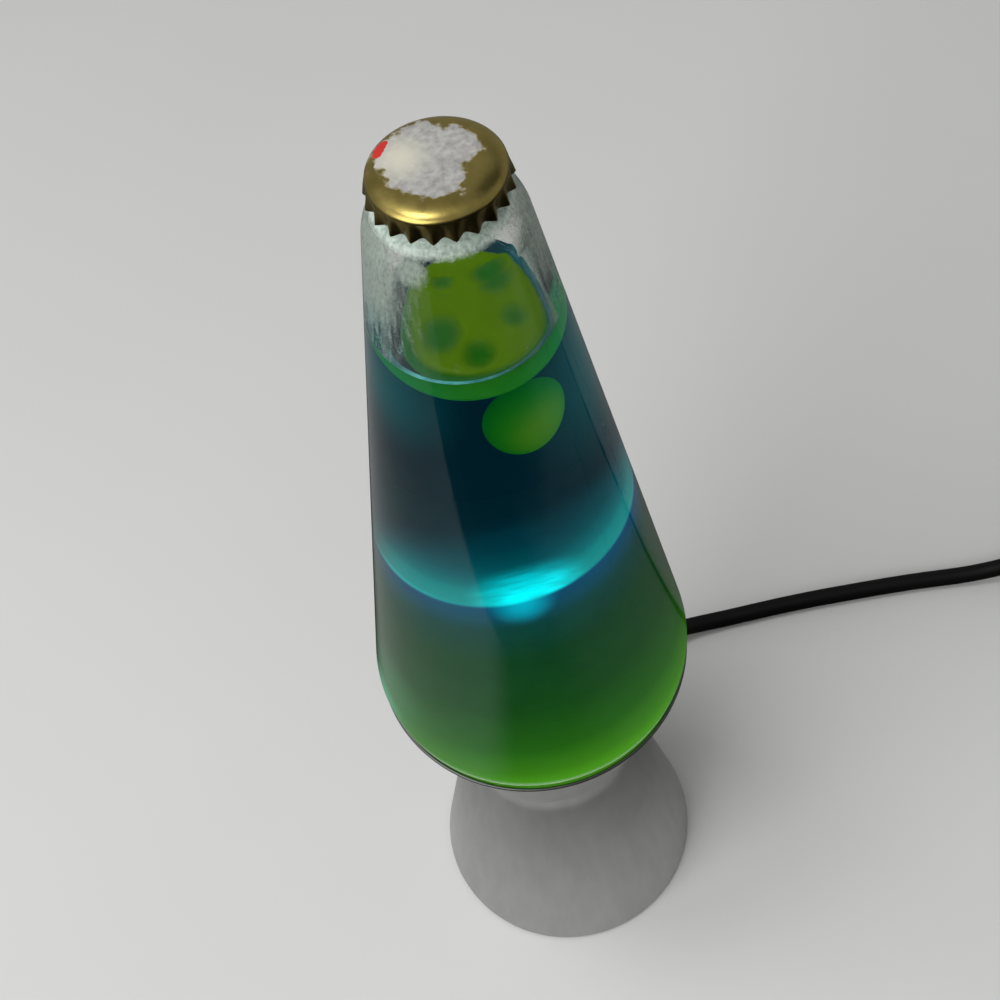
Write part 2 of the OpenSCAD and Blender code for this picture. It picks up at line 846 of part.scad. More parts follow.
// Course of an inner wire in the upright plane of the exit: along it and up
function wire_course(side) =
    [
        [inner_from, exit_z], [inner_from - 3, exit_z - 0.2],
        [inner_from - 7, exit_z - 1.6], [inner_from - 11, exit_z - 2.6],
        [5, exit_z - 3], [2.4, exit_z - 2.2], [0.8, exit_z - 0.4], [0.1, exit_z + 1.6], [0, exit_z + 4],
        [0, nipple_to - 2], [0, nipple_to + 0.4], [side * 0.5, nipple_to + 2],
        [side * 1.6, nipple_to + 2.9],
        [side * 3.2, nipple_to + 3.1], [side * (terminal_s - 2.3), nipple_to + 3.1]
    ];

module inner_wire(side) {
    e = [cos(exit_turn), sin(exit_turn), 0];
    across = [sin(exit_turn), -cos(exit_turn), 0];
    path = [for (p = wire_course(side)) p[0] * e + [0, 0, p[1]] + side * lead_apart * across];
    tube(path, [for (p = path) across], lead_d / 2, lead_sides);
}

module lead_live() {
    color([0.35, 0.18, 0.08]) inner_wire(1);
}

module lead_neutral() {
    color([0.1, 0.25, 0.6]) inner_wire(-1);
}

module cord_inner() {
    color([0.05, 0.05, 0.05])
    along_exit() translate([0, 0, inner_from])
    cylinder(r = cord_r, h = joint_s - inner_from, $fn = hole_fn);
}

module cord_clamp() {
    color([0.15, 0.15, 0.16])
    difference() {
        rotate([0, 0, exit_turn])
        translate([clamp_from, -clamp_half, exit_z + clamp_split / 2])
        cube([clamp_l, 2 * clamp_half, strap_h]);
        along_exit() translate([0, 0, clamp_from - 1])
        cylinder(r = cord_r + clear, h = clamp_l + 2, $fn = hole_fn);
        rotate([0, 0, exit_turn])
        for (side = [-1, 1])
            translate([clamp_from + clamp_l / 2, side * clamp_bolt, exit_z])
            cylinder(r = 1.1 + clear / 2, h = strap_h + 2, $fn = hole_fn);
    }
}

module clamp_screws() {
    color([0.75, 0.75, 0.75])
    rotate([0, 0, exit_turn])
    for (side = [-1, 1])
        translate([clamp_from + clamp_l / 2, side * clamp_bolt, 0]) {
            translate([0, 0, plate_z + 1.5])
            cylinder(r = 1.1, h = exit_z + clamp_split / 2 + strap_h - plate_z - 1.5, $fn = hole_fn);
            translate([0, 0, exit_z + clamp_split / 2 + strap_h])
            cylinder(r = 2.1, h = 1.3, $fn = hole_fn);
        }
}

// Wall of the foot round the exit, grown by a gap
module foot_wall(gap) {
    low = plate_top;
    high = exit_z + 12;
    rotate_extrude($fn = turn_fn)
    polygon([
        [foot_line(low) + gap, low],
        [foot_line(high) + gap, high],
        [foot_line(high) - base_wall - gap, high],
        [foot_line(low) - base_wall - gap, low]
    ]);
}

module strain_relief() {
    tip = bush_out + relief_l;
    wall_s = foot_line(exit_z);
    color([0.06, 0.06, 0.06])
    difference() {
        union() {
            difference() {
                along_exit()
                turned([
                    [0, bush_in, 0],
                    [bush_flange, bush_in, 0.6],
                    [bush_flange, wall_s - base_wall / 2, 0],
                    [bush_collar, wall_s - base_wall / 2, 0],
                    [bush_collar, bush_out, 1],
                    [cord_r + 2, bush_out + 1, 0.5],
                    [cord_r + 1, tip, 0.6],
                    [0, tip, 0]
                ]);
                foot_wall(clear);
            }
            along_exit() translate([0, 0, bush_in + 1])
            cylinder(r = bush_neck, h = bush_out - bush_in - 1, $fn = hole_fn);
        }
        along_exit() translate([0, 0, bush_in - 1]) cylinder(r = cord_r + clear, h = tip, $fn = hole_fn);
    }
}

// Lead, switch, coil and plug

module cord_lead() {
    color([0.04, 0.04, 0.04]) tube(lead_route, upward(lead_route), cord_r, cord_sides);
}

module cord_tail() {
    color([0.04, 0.04, 0.04]) tube(tail_route, upward(tail_route), cord_r, cord_sides);
}

module cord_end() {
    color([0.04, 0.04, 0.04]) tube(end_route, upward(end_route), cord_r, cord_sides);
}

// Middle of the coil after so many turns: in on the lower layer, out on the upper one
function coil_point(t) =
    let (
        r = coil_out - coil_pitch * min(t, coil_turns - t),
        a = 90 - 360 * t,
        climb = min(max((t - coil_half + 0.25) * 2, 0), 1),
        level = climb * climb * (3 - 2 * climb)
    )
    [coil_at[0] + r * cos(a), coil_at[1] + r * sin(a), coil_lift + coil_pitch * level];

coil_steps = coil_turns * coil_rings;
coil_loops = [for (i = [0:coil_steps]) coil_point(i / coil_rings)];
coil_path = concat(
    [coil_loops[0] - [coil_end, 0, 0]],
    coil_loops,
    [coil_loops[coil_steps] + [coil_end, 0, 0]]
);

// Least gap between turns, between points at least half a turn apart
coil_gap = min([
    for (i = [0:coil_steps - coil_rings / 2], j = [i + coil_rings / 2:coil_steps])
        norm(coil_loops[i] - coil_loops[j])
]) - cord_d;
echo("least gap between the turns of the lead's coil", coil_gap);

// Least gap between the curls of the wire, between points at least half a curl apart
curl_total = curls * curl_rings;
curl_gap = min([
    for (i = [0:curl_total - 4], j = [i + 4:min(i + 3 * curl_rings, curl_total)])
        norm(curl_point(i, curl_total) - curl_point(j, curl_total))
]) - wire_d;
echo("least gap between the curls of the wire", curl_gap);

module cord_coil() {
    color([0.04, 0.04, 0.04]) tube(coil_path, upward(coil_path), cord_r, coil_sides);
}

module coil_tie() {
    from = coil_in - cord_r - tie_play;
    to = coil_out + cord_r + tie_play;
    low = coil_lift - cord_r - 0.4;
    high = coil_lift + coil_pitch + cord_r + 0.4;
    color([0.1, 0.1, 0.1])
    translate([coil_at[0], coil_at[1] + tie_w / 2, 0])
    rotate([90, 0, 0])
    linear_extrude(tie_w)
    difference() {
        polygon(rounded([
            [from - tie_t, low - tie_t, 3],
            [to + tie_t, low - tie_t, 3],
            [to + tie_t, high + tie_t, 3],
            [from - tie_t, high + tie_t, 3]
        ]));
        polygon(rounded([
            [from, low, 3 - tie_t], [to, low, 3 - tie_t],
            [to, high, 3 - tie_t], [from, high, 3 - tie_t]
        ]));
    }
}

// Outline of the switch seen from above, drawn in by a wall
function switch_plan(inset) =
    let (l = switch_l / 2 - inset, w = switch_w / 2 - inset, n = switch_neck - inset)
    [
        for (s = [[1, 1], [-1, -1]])
            each [
                [s[0] * l, -s[1] * n, 2], [s[0] * l, s[1] * n, 2],
                [s[0] * (l - 14), s[1] * w, 12], [-s[0] * (l - 14), s[1] * w, 12]
            ]
    ];

// Solid body of the switch: its plan, with the edges along it rounded
module switch_block(inset) {
    w = switch_w / 2 - inset;
    translate([switch_at[0], switch_at[1], 0])
    intersection() {
        translate([0, 0, inset])
        linear_extrude(switch_h - 2 * inset) polygon(rounded(switch_plan(inset)));
        translate([-switch_l / 2, 0, 0])
        rotate([90, 0, 90])
        linear_extrude(switch_l)
        polygon(rounded([
            [-w, inset, 3], [w, inset, 3], [w, switch_h - inset, 4], [-w, switch_h - inset, 4]
        ]));
    }
}

// Slab between two heights, wide enough for the switch
module switch_slab(from, to) {
    translate([switch_at[0] - switch_l, switch_at[1] - switch_w, from])
    cube([2 * switch_l, 2 * switch_w, to - from]);
}

module at_switch_bolts() {
    for (s = [-1, 1]) translate([switch_at[0] + s * switch_bolt[0], switch_at[1] + switch_bolt[1], 0])
    children();
}

module switch_lower() {
    color([0.06, 0.06, 0.06])
    difference() {
        union() {
            difference() {
                intersection() {
                    switch_block(0);
                    switch_slab(0, switch_split);
                }
                switch_block(switch_wall);
            }
            at_switch_bolts() translate([0, 0, switch_wall - 0.5])
            cylinder(r = 3.2, h = switch_split - switch_wall + 0.5, $fn = hole_fn);
        }
        at_switch_bolts() {
            translate([0, 0, -1]) cylinder(r = 1.1 + clear / 2, h = switch_split + 2, $fn = hole_fn);
            translate([0, 0, -1]) cylinder(r = 2.2 + clear, h = 2.6, $fn = hole_fn);
        }
    }
}

module switch_upper() {
    window = [rocker_l + 2 * rocker_gap, rocker_w + 2 * rocker_gap];
    ear_y = window[1] / 2;
    pivot = [switch_at[0], switch_at[1], pivot_z];
    color([0.06, 0.06, 0.06])
    difference() {
        union() {
            difference() {
                intersection() {
                    switch_block(0);
                    switch_slab(switch_split, switch_h);
                }
                switch_block(switch_wall);
            }
            for (s = [-1, 1])
                translate([switch_at[0], switch_at[1] + s * (ear_y + ear_t / 2), switch_split + 0.6])
                translate([-3.5, -ear_t / 2, 0])
                cube([7, ear_t, switch_h - switch_wall - switch_split]);
            at_switch_bolts() translate([0, 0, switch_split])
            cylinder(r = 3.2, h = switch_h - switch_split - 1, $fn = hole_fn);
        }
        translate([switch_at[0] - window[0] / 2, switch_at[1] - window[1] / 2, switch_split])
        cube([window[0], window[1], switch_h]);
        translate(pivot) rotate([90, 0, 0])
        cylinder(r = pivot_r + pivot_clear, h = 2 * (ear_y + ear_t) + 2, center = true, $fn = hole_fn);
        at_switch_bolts() translate([0, 0, switch_split - 1])
        cylinder(r = 1.1 + clear / 2, h = 6, $fn = hole_fn);
    }
}

module switch_rocker() {
    half = rocker_l / 2;
    side = [
        [-half, -0.6, 0.6],
        [-half + 0.8, rocker_rise, 0.8],
        [0, rocker_dip, 12],
        [half - 0.8, rocker_rise, 0.8],
        [half, -0.6, 0.6],
        [rocker_hub - 0.6, -1.2, 1],
        [2.2, -rocker_hub, 1.2],
        [-2.2, -rocker_hub, 1.2],
        [-rocker_hub + 0.6, -1.2, 1]
    ];
    window_w = rocker_w + 2 * rocker_gap;
    color([0.5, 0.05, 0.04])
    translate([switch_at[0], switch_at[1], pivot_z])
    rotate([0, rocker_tilt, 0])
    union() {
        translate([0, rocker_w / 2, 0]) rotate([90, 0, 0])
        linear_extrude(rocker_w) polygon(rounded(side));
        rotate([90, 0, 0])
        cylinder(r = pivot_r, h = window_w + 2 * ear_t - 0.4, center = true, $fn = hole_fn);
    }
}

module switch_contacts() {
    color([0.75, 0.62, 0.3])
    for (s = [-1, 1])
        translate([switch_at[0] + s * 9 - 4, switch_at[1] - 3, switch_wall]) {
            cube([8, 6, 0.8]);
            translate([s > 0 ? 7.2 : 0, 0, 0]) cube([0.8, 6, 3.4]);
        }
}

module switch_screws() {
    color([0.7, 0.7, 0.7])
    at_switch_bolts() {
        translate([0, 0, 0.3]) cylinder(r = 2.2, h = 1.3, $fn = hole_fn);
        translate([0, 0, 0.3]) cylinder(r = 1.1, h = switch_split + 3.5, $fn = hole_fn);
    }
}

// Outline of the plug seen from above, cord side at x = 0
plug_plan = [
    [0, -6, 1.5], [9, -8.5, 6], [17, -plug_w / 2, 4], [plug_l - 7, -plug_w / 2, 2], [plug_l, -13.2, 1.5],
    [plug_l, 13.2, 1.5], [plug_l - 7, plug_w / 2, 2], [17, plug_w / 2, 4], [9, 8.5, 6], [0, 6, 1.5]
];

module plug_body() {
    color([0.05, 0.05, 0.05])
    translate([plug_at[0], plug_at[1], plug_mid])
    difference() {
        intersection() {
            translate([0, 0, -plug_h / 2]) linear_extrude(plug_h) polygon(rounded(plug_plan));
            rotate([90, 0, 90])
            linear_extrude(plug_l)
            polygon(rounded([
                [-plug_w / 2, -plug_h / 2, 3], [plug_w / 2, -plug_h / 2, 3],
                [plug_w / 2, plug_h / 2, 3], [-plug_w / 2, plug_h / 2, 3]
            ]));
        }
        for (s = [-1, 1])
            translate([plug_l - pin_tail - 0.1, s * pin_gap / 2, 0])
            rotate([0, 90, 0])
            cylinder(r = pin_tail_r + 0.05, h = pin_tail + 1.1, $fn = hole_fn);
    }
}

module plug_pins() {
    color([0.78, 0.78, 0.78])
    for (s = [-1, 1])
        translate([plug_at[0] + plug_l, plug_at[1] + s * pin_gap / 2, plug_mid])
        rotate([0, 90, 0])
        turned([
            [0, -pin_tail, 0], [pin_tail_r, -pin_tail, 0], [pin_tail_r, 0, 0],
            [pin_r, 0, 0], [pin_r, pin_l, 1.2], [0, pin_l, 0]
        ]);
}

globe_glass();
crown_cap();
cap_liner();
liquid();
wax_pool();
wax_raft();
wax_blob();
element_coil();
base_shell();
base_plate();
feet();
holder_bracket();
bracket_screws();
bracket_nuts();
nipple();
nipple_nut();
lampholder();
holder_sleeve();
holder_contact();
terminal_screws();
bulb_glass();
bulb_mount();
bulb_cap();
bulb_insulator();
bulb_contact();
lead_live();
lead_neutral();
cord_inner();
cord_clamp();
clamp_screws();
strain_relief();
cord_lead();
switch_lower();
switch_upper();
switch_rocker();
switch_contacts();
switch_screws();
cord_tail();
cord_coil();
coil_tie();
cord_end();
plug_body();
plug_pins();
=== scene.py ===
"""Looks of a liquid motion lamp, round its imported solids. Metres, +Z up, origin under the base."""

import math

import bpy
from mathutils import Matrix, Vector


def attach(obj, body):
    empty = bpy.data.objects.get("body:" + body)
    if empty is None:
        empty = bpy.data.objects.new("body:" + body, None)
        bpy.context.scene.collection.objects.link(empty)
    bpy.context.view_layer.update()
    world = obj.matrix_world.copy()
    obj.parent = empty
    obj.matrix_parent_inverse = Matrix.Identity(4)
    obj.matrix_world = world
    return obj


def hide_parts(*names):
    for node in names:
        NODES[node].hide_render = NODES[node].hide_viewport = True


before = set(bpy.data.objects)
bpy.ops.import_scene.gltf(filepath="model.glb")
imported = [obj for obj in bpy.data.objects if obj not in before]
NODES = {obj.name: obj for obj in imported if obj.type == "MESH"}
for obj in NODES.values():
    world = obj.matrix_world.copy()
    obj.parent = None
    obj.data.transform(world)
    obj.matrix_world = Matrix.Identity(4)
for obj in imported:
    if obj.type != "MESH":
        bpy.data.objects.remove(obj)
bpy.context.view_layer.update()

MM = 0.001
scene = bpy.context.scene
scene.view_settings.view_transform = "Standard"

# Sizes in millimetres of the base, the globe, the liquid and the drop, as the solids have them
FOOT_R, FOOT_Z = 41.2, 0.8
WAIST_R, WAIST_Z, WAIST_ROUND = 24.6, 88.0, 25.0
RIM_R, RIM_Z, BASE_WALL = 42.6, 146.0, 1.0
HEM_W, PLATE_Z = 4.0, 1.8
GLOBE_Z, WIDE_Z, WIDE_ROUND = 104.0, 150.8, 12.0
SHOULDER_R, SHOULDER_Z, SHOULDER_ROUND = 16.0, 335.2, 14.0
LIP_R, LIP_Z, LIP_H, LIP_ROUND, MOUTH_R = 12.9, 348.0, 2.2, 1.2, 8.0
GROOVE_R, GROOVE_Z, RING_Z, BORE_Z = 11.5, 342.8, 342.2, 344.6
GLOBE_WALL, GLOBE_FLOOR, SEAT_GAP = 2.6, 4.0, 0.3
LIQUID_Z, POOL_Z, POOL_RISE, POOL_FALL = 307.0, 225.0, 10.0, 6
BLOB_AT, BLOB_W, BLOB_H = (6.3, -10.0, 284.4), 14.6, 20.0

# Sizes in millimetres that follow the photograph more closely than the solids do
NECK_WALL = 1.2
RAFT_R, RAFT_H, RAFT_EDGE, RAFT_LEAN, RAFT_AT = 14.6, 10.5, 7.0, 1.6, (1.2, -2.2)
RAFT_WIDE, RAFT_SWAY, RAFT_FLAT, RAFT_FLARE, RAFT_CORNER, RAFT_OVER = 15.6, 1.2, 13.4, 9, 12, 0.4
CROWN_Z, CROWN_H, CROWN_T, CROWN_ROUND, CROWN_CURVE = 348.95, 5.6, 0.35, 1.8, 5.0
CROWN_TOP_R, CROWN_R, CROWN_FLAT, CROWN_LIFT = 13.15, 13.45, 6, 1.7
CROWN_LEAN = 4.0  # degrees
FLUTES, FLUTE_DEPTH, FLUTE_DROP, FLUTE_STEPS = 21, 0.65, 0.35, 16
# Dimples of the raft, each (x, y, radius) from its middle, and their depth as a share of the radius
DIMPLES = [(6.2, 7.4, 6.0), (-4.8, 7.0, 3.8), (-6.8, -3.4, 5.6), (-0.2, -9.2, 4.6), (8.4, -2.4, 3.8)]
DIMPLE_DEPTH = 0.28
# Lean of the pool's top: lift of its middle, and rise from there to the wall along x and y
POOL_LIFT, POOL_LEAN = -3.2, (2.2, -5.8)

# Lead in millimetres
CORD_D = 6.0
COIL_AT, COIL_IN, COIL_PITCH, COIL_TURNS, COIL_LIFT = (292.0, 10.7), 27.0, 6.6, 6, 4.4
LEAD_ROUTE = [
    (27, 36, 11), (30, 40, 11), (33, 44, 11), (36, 48, 10.9), (39, 51.5, 10.4), (43, 55, 9.3),
    (48, 58, 7.7), (54, 60, 6), (61, 61, 4.5), (70, 61.6, 3.4), (80, 62, 3.1), (92, 62.3, 3),
    (104, 62.3, 3), (116, 62, 3), (128, 61.6, 3), (140, 61, 3), (150, 60.2, 3.1),
    (159, 59.3, 3.7), (167, 58.6, 5.1), (175, 58.1, 7), (183, 58, 8), (190, 58, 8),
]
TAIL_ROUTE = [
    (252, 58, 8), (259, 58, 8), (266, 58, 7.2), (273, 57.8, 5.6), (280, 57.5, 4.6), (286, 57.5, 4.4),
]
END_ROUTE = [
    (298, 57.5, 11), (300, 57.5, 11), (305, 57.5, 10.7), (310, 57.3, 9.9), (314, 56.7, 8.8),
    (318, 55.7, 7.9), (322, 54.3, 7.4), (326, 53.3, 7.2), (330, 52.7, 7.2), (334, 52.5, 7.2),
    (340, 52.5, 7.2),
]

# Camera: place in millimetres, angles in degrees, focal length in pixels of the square frame
CAMERA_AT = (-0.7, -211.5, 597.5)
CAMERA_PITCH, CAMERA_ROLL = 60.19, -11.63
FOCAL_PX, FRAME_PX, SENSOR_MM = 1800.0, 1000.0, 36.0


def make_camera():
    """Camera from its place, pitch and roll."""
    pitch, roll = math.radians(CAMERA_PITCH), math.radians(CAMERA_ROLL)
    forward = Vector((0, math.cos(pitch), -math.sin(pitch)))
    level = Vector((1, 0, 0))
    upright = level.cross(forward)
    right = math.cos(roll) * level + math.sin(roll) * upright
    up = math.cos(roll) * upright - math.sin(roll) * level
    data = bpy.data.cameras.new("camera")
    data.sensor_width = SENSOR_MM
    data.lens = SENSOR_MM * FOCAL_PX / FRAME_PX
    data.clip_start = 0.01
    cam = bpy.data.objects.new("camera", data)
    turn = Matrix((right, up, -forward)).transposed().to_4x4()
    cam.matrix_world = Matrix.Translation(Vector(CAMERA_AT) * MM) @ turn
    scene.collection.objects.link(cam)
    scene.camera = cam


make_camera()


def add_mesh(name, verts, faces, body, sharp=40):
    """Smooth mesh from vertices in millimetres, riding on a body, creased from the sharp angle up."""
    mesh = bpy.data.meshes.new(name)
    mesh.from_pydata([Vector(v) * MM for v in verts], [], faces)
    mesh.validate()
    mesh.shade_smooth()
    if sharp:
        mesh.set_sharp_from_angle(angle=math.radians(sharp))
    obj = bpy.data.objects.new(name, mesh)
    scene.collection.objects.link(obj)
    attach(obj, body)
    return obj


# Lead

def smooth_path(points, steps=4):
    """Points along a curve through the given ones, in metres."""
    p = [Vector(q) * MM for q in points]
    p = [2 * p[0] - p[1]] + p + [2 * p[-1] - p[-2]]
    out = []
    for i in range(1, len(p) - 2):
        for s in range(steps):
            t = s / steps
            a, b, c, d = p[i - 1], p[i], p[i + 1], p[i + 2]
            out.append(0.5 * (2 * b + (c - a) * t + (2 * a - 5 * b + 4 * c - d) * t ** 2
                              + (3 * b - a - 3 * c + d) * t ** 3))
    return out + [p[-2]]


def coil_points(per_turn=36):
    """Middle of the coil: in on the lower layer, out on the upper one."""
    half = COIL_TURNS / 2
    outer = COIL_IN + half * COIL_PITCH
    count = int(COIL_TURNS * per_turn)
    points = []
    for i in range(count + 1):
        t = i / per_turn
        r = outer - COIL_PITCH * min(t, COIL_TURNS - t)
        a = math.radians(90 - 360 * t)
        climb = min(max((t - half + 0.25) * 2, 0), 1)
        z = COIL_LIFT + COIL_PITCH * climb * climb * (3 - 2 * climb)
        points.append(Vector((COIL_AT[0] + r * math.cos(a), COIL_AT[1] + r * math.sin(a), z)) * MM)
    return points


def cord_tube(name, points, sides=16):
    """Round sheath along points in metres, closed at both ends."""
    verts, faces = [], [range(sides)]
    across = Vector((0, 0, 1))
    last = len(points) - 1
    for i, p in enumerate(points):
        along = (points[min(i + 1, last)] - points[max(i - 1, 0)]).normalized()
        side = along.cross(across).normalized()
        across = side.cross(along)
        for k in range(sides):
            a = 2 * math.pi * k / sides
            verts.append(p / MM + (side * math.cos(a) + across * math.sin(a)) * CORD_D / 2)
            if i < last:
                here, turned = i * sides + k, i * sides + (k + 1) % sides
                faces.append((here, here + sides, turned + sides, turned))
    faces.append(range((last + 1) * sides - 1, last * sides - 1, -1))
    cord = add_mesh(name, verts, faces, "base", sharp=60)
    return cord


lead_points = smooth_path(LEAD_ROUTE)
lead = cord_tube("lead", lead_points)
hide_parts("cord_lead")

stored_points = smooth_path(TAIL_ROUTE) + coil_points() + smooth_path(END_ROUTE)
stored = cord_tube("lead_stored", stored_points)
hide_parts("cord_tail", "cord_coil", "cord_end")


# Outlines and lathe work

ROUND_SEGMENTS = 192


def arc_corner(a, p, b, steps):
    """Arc of radius p[2] in the corner at p, between the lines towards a and b."""
    corner = Vector(p[:2])
    u = (Vector(a[:2]) - corner).normalized()
    v = (Vector(b[:2]) - corner).normalized()
    half = math.acos(max(-1, min(1, u.dot(v)))) / 2
    middle = corner + (u + v).normalized() * p[2] / math.sin(half)
    first = corner + u * p[2] / math.tan(half) - middle
    last = corner + v * p[2] / math.tan(half) - middle
    start = math.atan2(first.y, first.x)
    sweep = (math.atan2(last.y, last.x) - start + 3 * math.pi) % (2 * math.pi) - math.pi
    return [(middle.x + p[2] * math.cos(start + sweep * i / steps),
             middle.y + p[2] * math.sin(start + sweep * i / steps)) for i in range(steps + 1)]


def rounded(corners, steps=12):
    """Open outline through corners of (x, y, radius), rounding those that have a radius."""
    out = []
    for i, c in enumerate(corners):
        if len(c) > 2 and c[2] > 0:
            out += arc_corner(corners[i - 1], c, corners[i + 1], steps)
        else:
            out.append((c[0], c[1]))
    return out


def spin(outline, segments, centre=(0, 0), shape=None):
    """Vertices and faces of an outline of (radius, height) turned about an upright axis, with poles
    where it meets the axis. shape(r, z, angle) may move a point to another (radius, height)."""
    verts, rings = [], []
    for r, z in outline:
        if r < 1e-6:
            rings.append([len(verts)])
            verts.append((centre[0], centre[1], z))
            continue
        rings.append(list(range(len(verts), len(verts) + segments)))
        for k in range(segments):
            a = 2 * math.pi * k / segments
            rr, zz = shape(r, z, a) if shape else (r, z)
            verts.append((centre[0] + rr * math.cos(a), centre[1] + rr * math.sin(a), zz))
    faces = []
    for low, high in zip(rings, rings[1:]):
        for k in range(segments):
            n = (k + 1) % segments
            if len(low) == 1 and len(high) > 1:
                faces.append((low[0], high[n], high[k]))
            elif len(high) == 1 and len(low) > 1:
                faces.append((low[k], low[n], high[0]))
            elif len(low) > 1:
                faces.append((low[k], low[n], high[n], high[k]))
    return verts, faces


# Radius at a height: outside of the foot, of the cup, of the globe in the cup and of its cone above

def foot_line(z):
    return FOOT_R + (WAIST_R - FOOT_R) * (z - FOOT_Z) / (WAIST_Z - FOOT_Z)


def cup_line(z):
    return WAIST_R + (RIM_R - WAIST_R) * (z - WAIST_Z) / (RIM_Z - WAIST_Z)


def seat_line(z):
    return cup_line(z) - BASE_WALL - SEAT_GAP


WIDE_R = seat_line(WIDE_Z)


def cone_line(z):
    return WIDE_R + (SHOULDER_R - WIDE_R) * (z - WIDE_Z) / (SHOULDER_Z - WIDE_Z)


def inside(z):
    """Radius of the globe's inner wall."""
    return (seat_line(z) if z < WIDE_Z else cone_line(z)) - GLOBE_WALL


# Shader helpers

def new_material(name):
    mat = bpy.data.materials.new(name)
    mat.use_nodes = True
    tree = mat.node_tree
    return mat, tree, tree.nodes["Principled BSDF"]


def add_node(tree, kind, **values):
    """New node; a value goes to the input of its name, or else to the node's own setting."""
    node = tree.nodes.new(kind)
    for key, value in values.items():
        if key in node.inputs:
            node.inputs[key].default_value = value
        else:
            setattr(node, key, value)
    return node


def noise(tree, scale, detail=4, stretch=(1, 1, 1), roughness=0.5):
    """Noise over the piece's own coordinates, stretched along the axes."""
    where = add_node(tree, "ShaderNodeTexCoord")
    mapping = add_node(tree, "ShaderNodeMapping")
    mapping.inputs["Scale"].default_value = stretch
    tree.links.new(where.outputs["Object"], mapping.inputs["Vector"])
    tex = add_node(tree, "ShaderNodeTexNoise", Scale=scale, Detail=detail, Roughness=roughness)
    tree.links.new(mapping.outputs["Vector"], tex.inputs["Vector"])
    return tex.outputs["Fac"]


def ramp(tree, value, stops):
    """Colour ramp from (position, colour) stops."""
    node = add_node(tree, "ShaderNodeValToRGB")
    bar = node.color_ramp
    while len(bar.elements) < len(stops):
        bar.elements.new(0.5)
    for element, (position, colour) in zip(bar.elements, stops):
        element.position = position
        element.color = (*colour, 1)
    tree.links.new(value, node.inputs["Fac"])
    return node.outputs["Color"]


def spread(tree, value, low, high):
    """Maps noise from its usual range to the given one."""
    node = add_node(tree, "ShaderNodeMapRange")
    node.inputs["From Min"].default_value = 0.3
    node.inputs["From Max"].default_value = 0.7
    node.inputs["To Min"].default_value = low
    node.inputs["To Max"].default_value = high
    tree.links.new(value, node.inputs["Value"])
    return node.outputs["Result"]


def bump(tree, bsdf, height, distance, strength=0.4):
    node = add_node(tree, "ShaderNodeBump", Strength=strength, Distance=distance)
    tree.links.new(height, node.inputs["Height"])
    tree.links.new(node.outputs["Normal"], bsdf.inputs["Normal"])


def shade(colour, factor):
    """Colour made darker or lighter."""
    return tuple(min(1, c * factor) for c in colour)


def plastic(name, colour, rough, gloss=0.5):
    """Moulded plastic or rubber: slight changes of tone and a fine grain."""
    mat, tree, bsdf = new_material(name)
    bsdf.inputs["Specular IOR Level"].default_value = gloss
    tone = ramp(tree, noise(tree, 60), [(0.35, shade(colour, 0.82)), (0.65, shade(colour, 1.15))])
    tree.links.new(tone, bsdf.inputs["Base Color"])
    tree.links.new(spread(tree, noise(tree, 140), rough - 0.06, rough + 0.08), bsdf.inputs["Roughness"])
    bump(tree, bsdf, noise(tree, 900, 2), 0.00004, 0.25)
    return mat


def metal(name, colour, rough):
    """Plain metal with fine marks."""
    mat, tree, bsdf = new_material(name)
    bsdf.inputs["Metallic"].default_value = 1
    marks = noise(tree, 400, 3)
    tone = ramp(tree, marks, [(0.3, shade(colour, 0.86)), (0.7, shade(colour, 1.08))])
    tree.links.new(tone, bsdf.inputs["Base Color"])
    tree.links.new(spread(tree, marks, rough - 0.08, rough + 0.08), bsdf.inputs["Roughness"])
    bump(tree, bsdf, marks, 0.00002, 0.2)
    return mat


def dress(obj, *materials):
    """Gives a piece these materials in place of its own."""
    obj.data.materials.clear()
    for mat in materials:
        obj.data.materials.append(mat)


def place(tree):
    """The shaded point in the piece's own coordinates, whole and as its x, y and z."""
    where = add_node(tree, "ShaderNodeTexCoord").outputs["Object"]
    parts = add_node(tree, "ShaderNodeSeparateXYZ")
    tree.links.new(where, parts.inputs["Vector"])
    return where, parts.outputs["X"], parts.outputs["Y"], parts.outputs["Z"]


def vector_value(tree, operation, a, b=(0, 0, 0)):
    """A value worked out from two vectors, of which the second is fixed."""
    node = add_node(tree, "ShaderNodeVectorMath", operation=operation)
    tree.links.new(a, node.inputs[0])
    node.inputs[1].default_value = b
    return node.outputs["Value"]


def axis_height(tree):
    """Height over the origin, and distance from the axis, of the shaded point."""
    where, _, _, height = place(tree)
    flat = add_node(tree, "ShaderNodeVectorMath", operation="MULTIPLY")
    flat.inputs[1].default_value = (1, 1, 0)
    tree.links.new(where, flat.inputs[0])
    return height, vector_value(tree, "LENGTH", flat.outputs["Vector"])


def part_way(tree, value, low, high):
    """Value mapped from low..high to 0..1."""
    node = add_node(tree, "ShaderNodeMapRange")
    node.inputs["From Min"].default_value = low
    node.inputs["From Max"].default_value = high
    tree.links.new(value, node.inputs["Value"])
    return node.outputs["Result"]


def smooth_way(tree, value, low, high):
    """As part_way, with soft ends."""
    node = add_node(tree, "ShaderNodeMapRange", interpolation_type="SMOOTHSTEP")
    node.inputs["From Min"].default_value = low
    node.inputs["From Max"].default_value = high
    tree.links.new(value, node.inputs["Value"])
    return node.outputs["Result"]


def sums(tree, operation, a, b):
    """Two values, or a value and a number, put together by an operation."""
    node = add_node(tree, "ShaderNodeMath", operation=operation)
    for socket, value in zip(node.inputs, (a, b)):
        if isinstance(value, bpy.types.NodeSocket):
            tree.links.new(value, socket)
        else:
            socket.default_value = value
    return node.outputs["Value"]


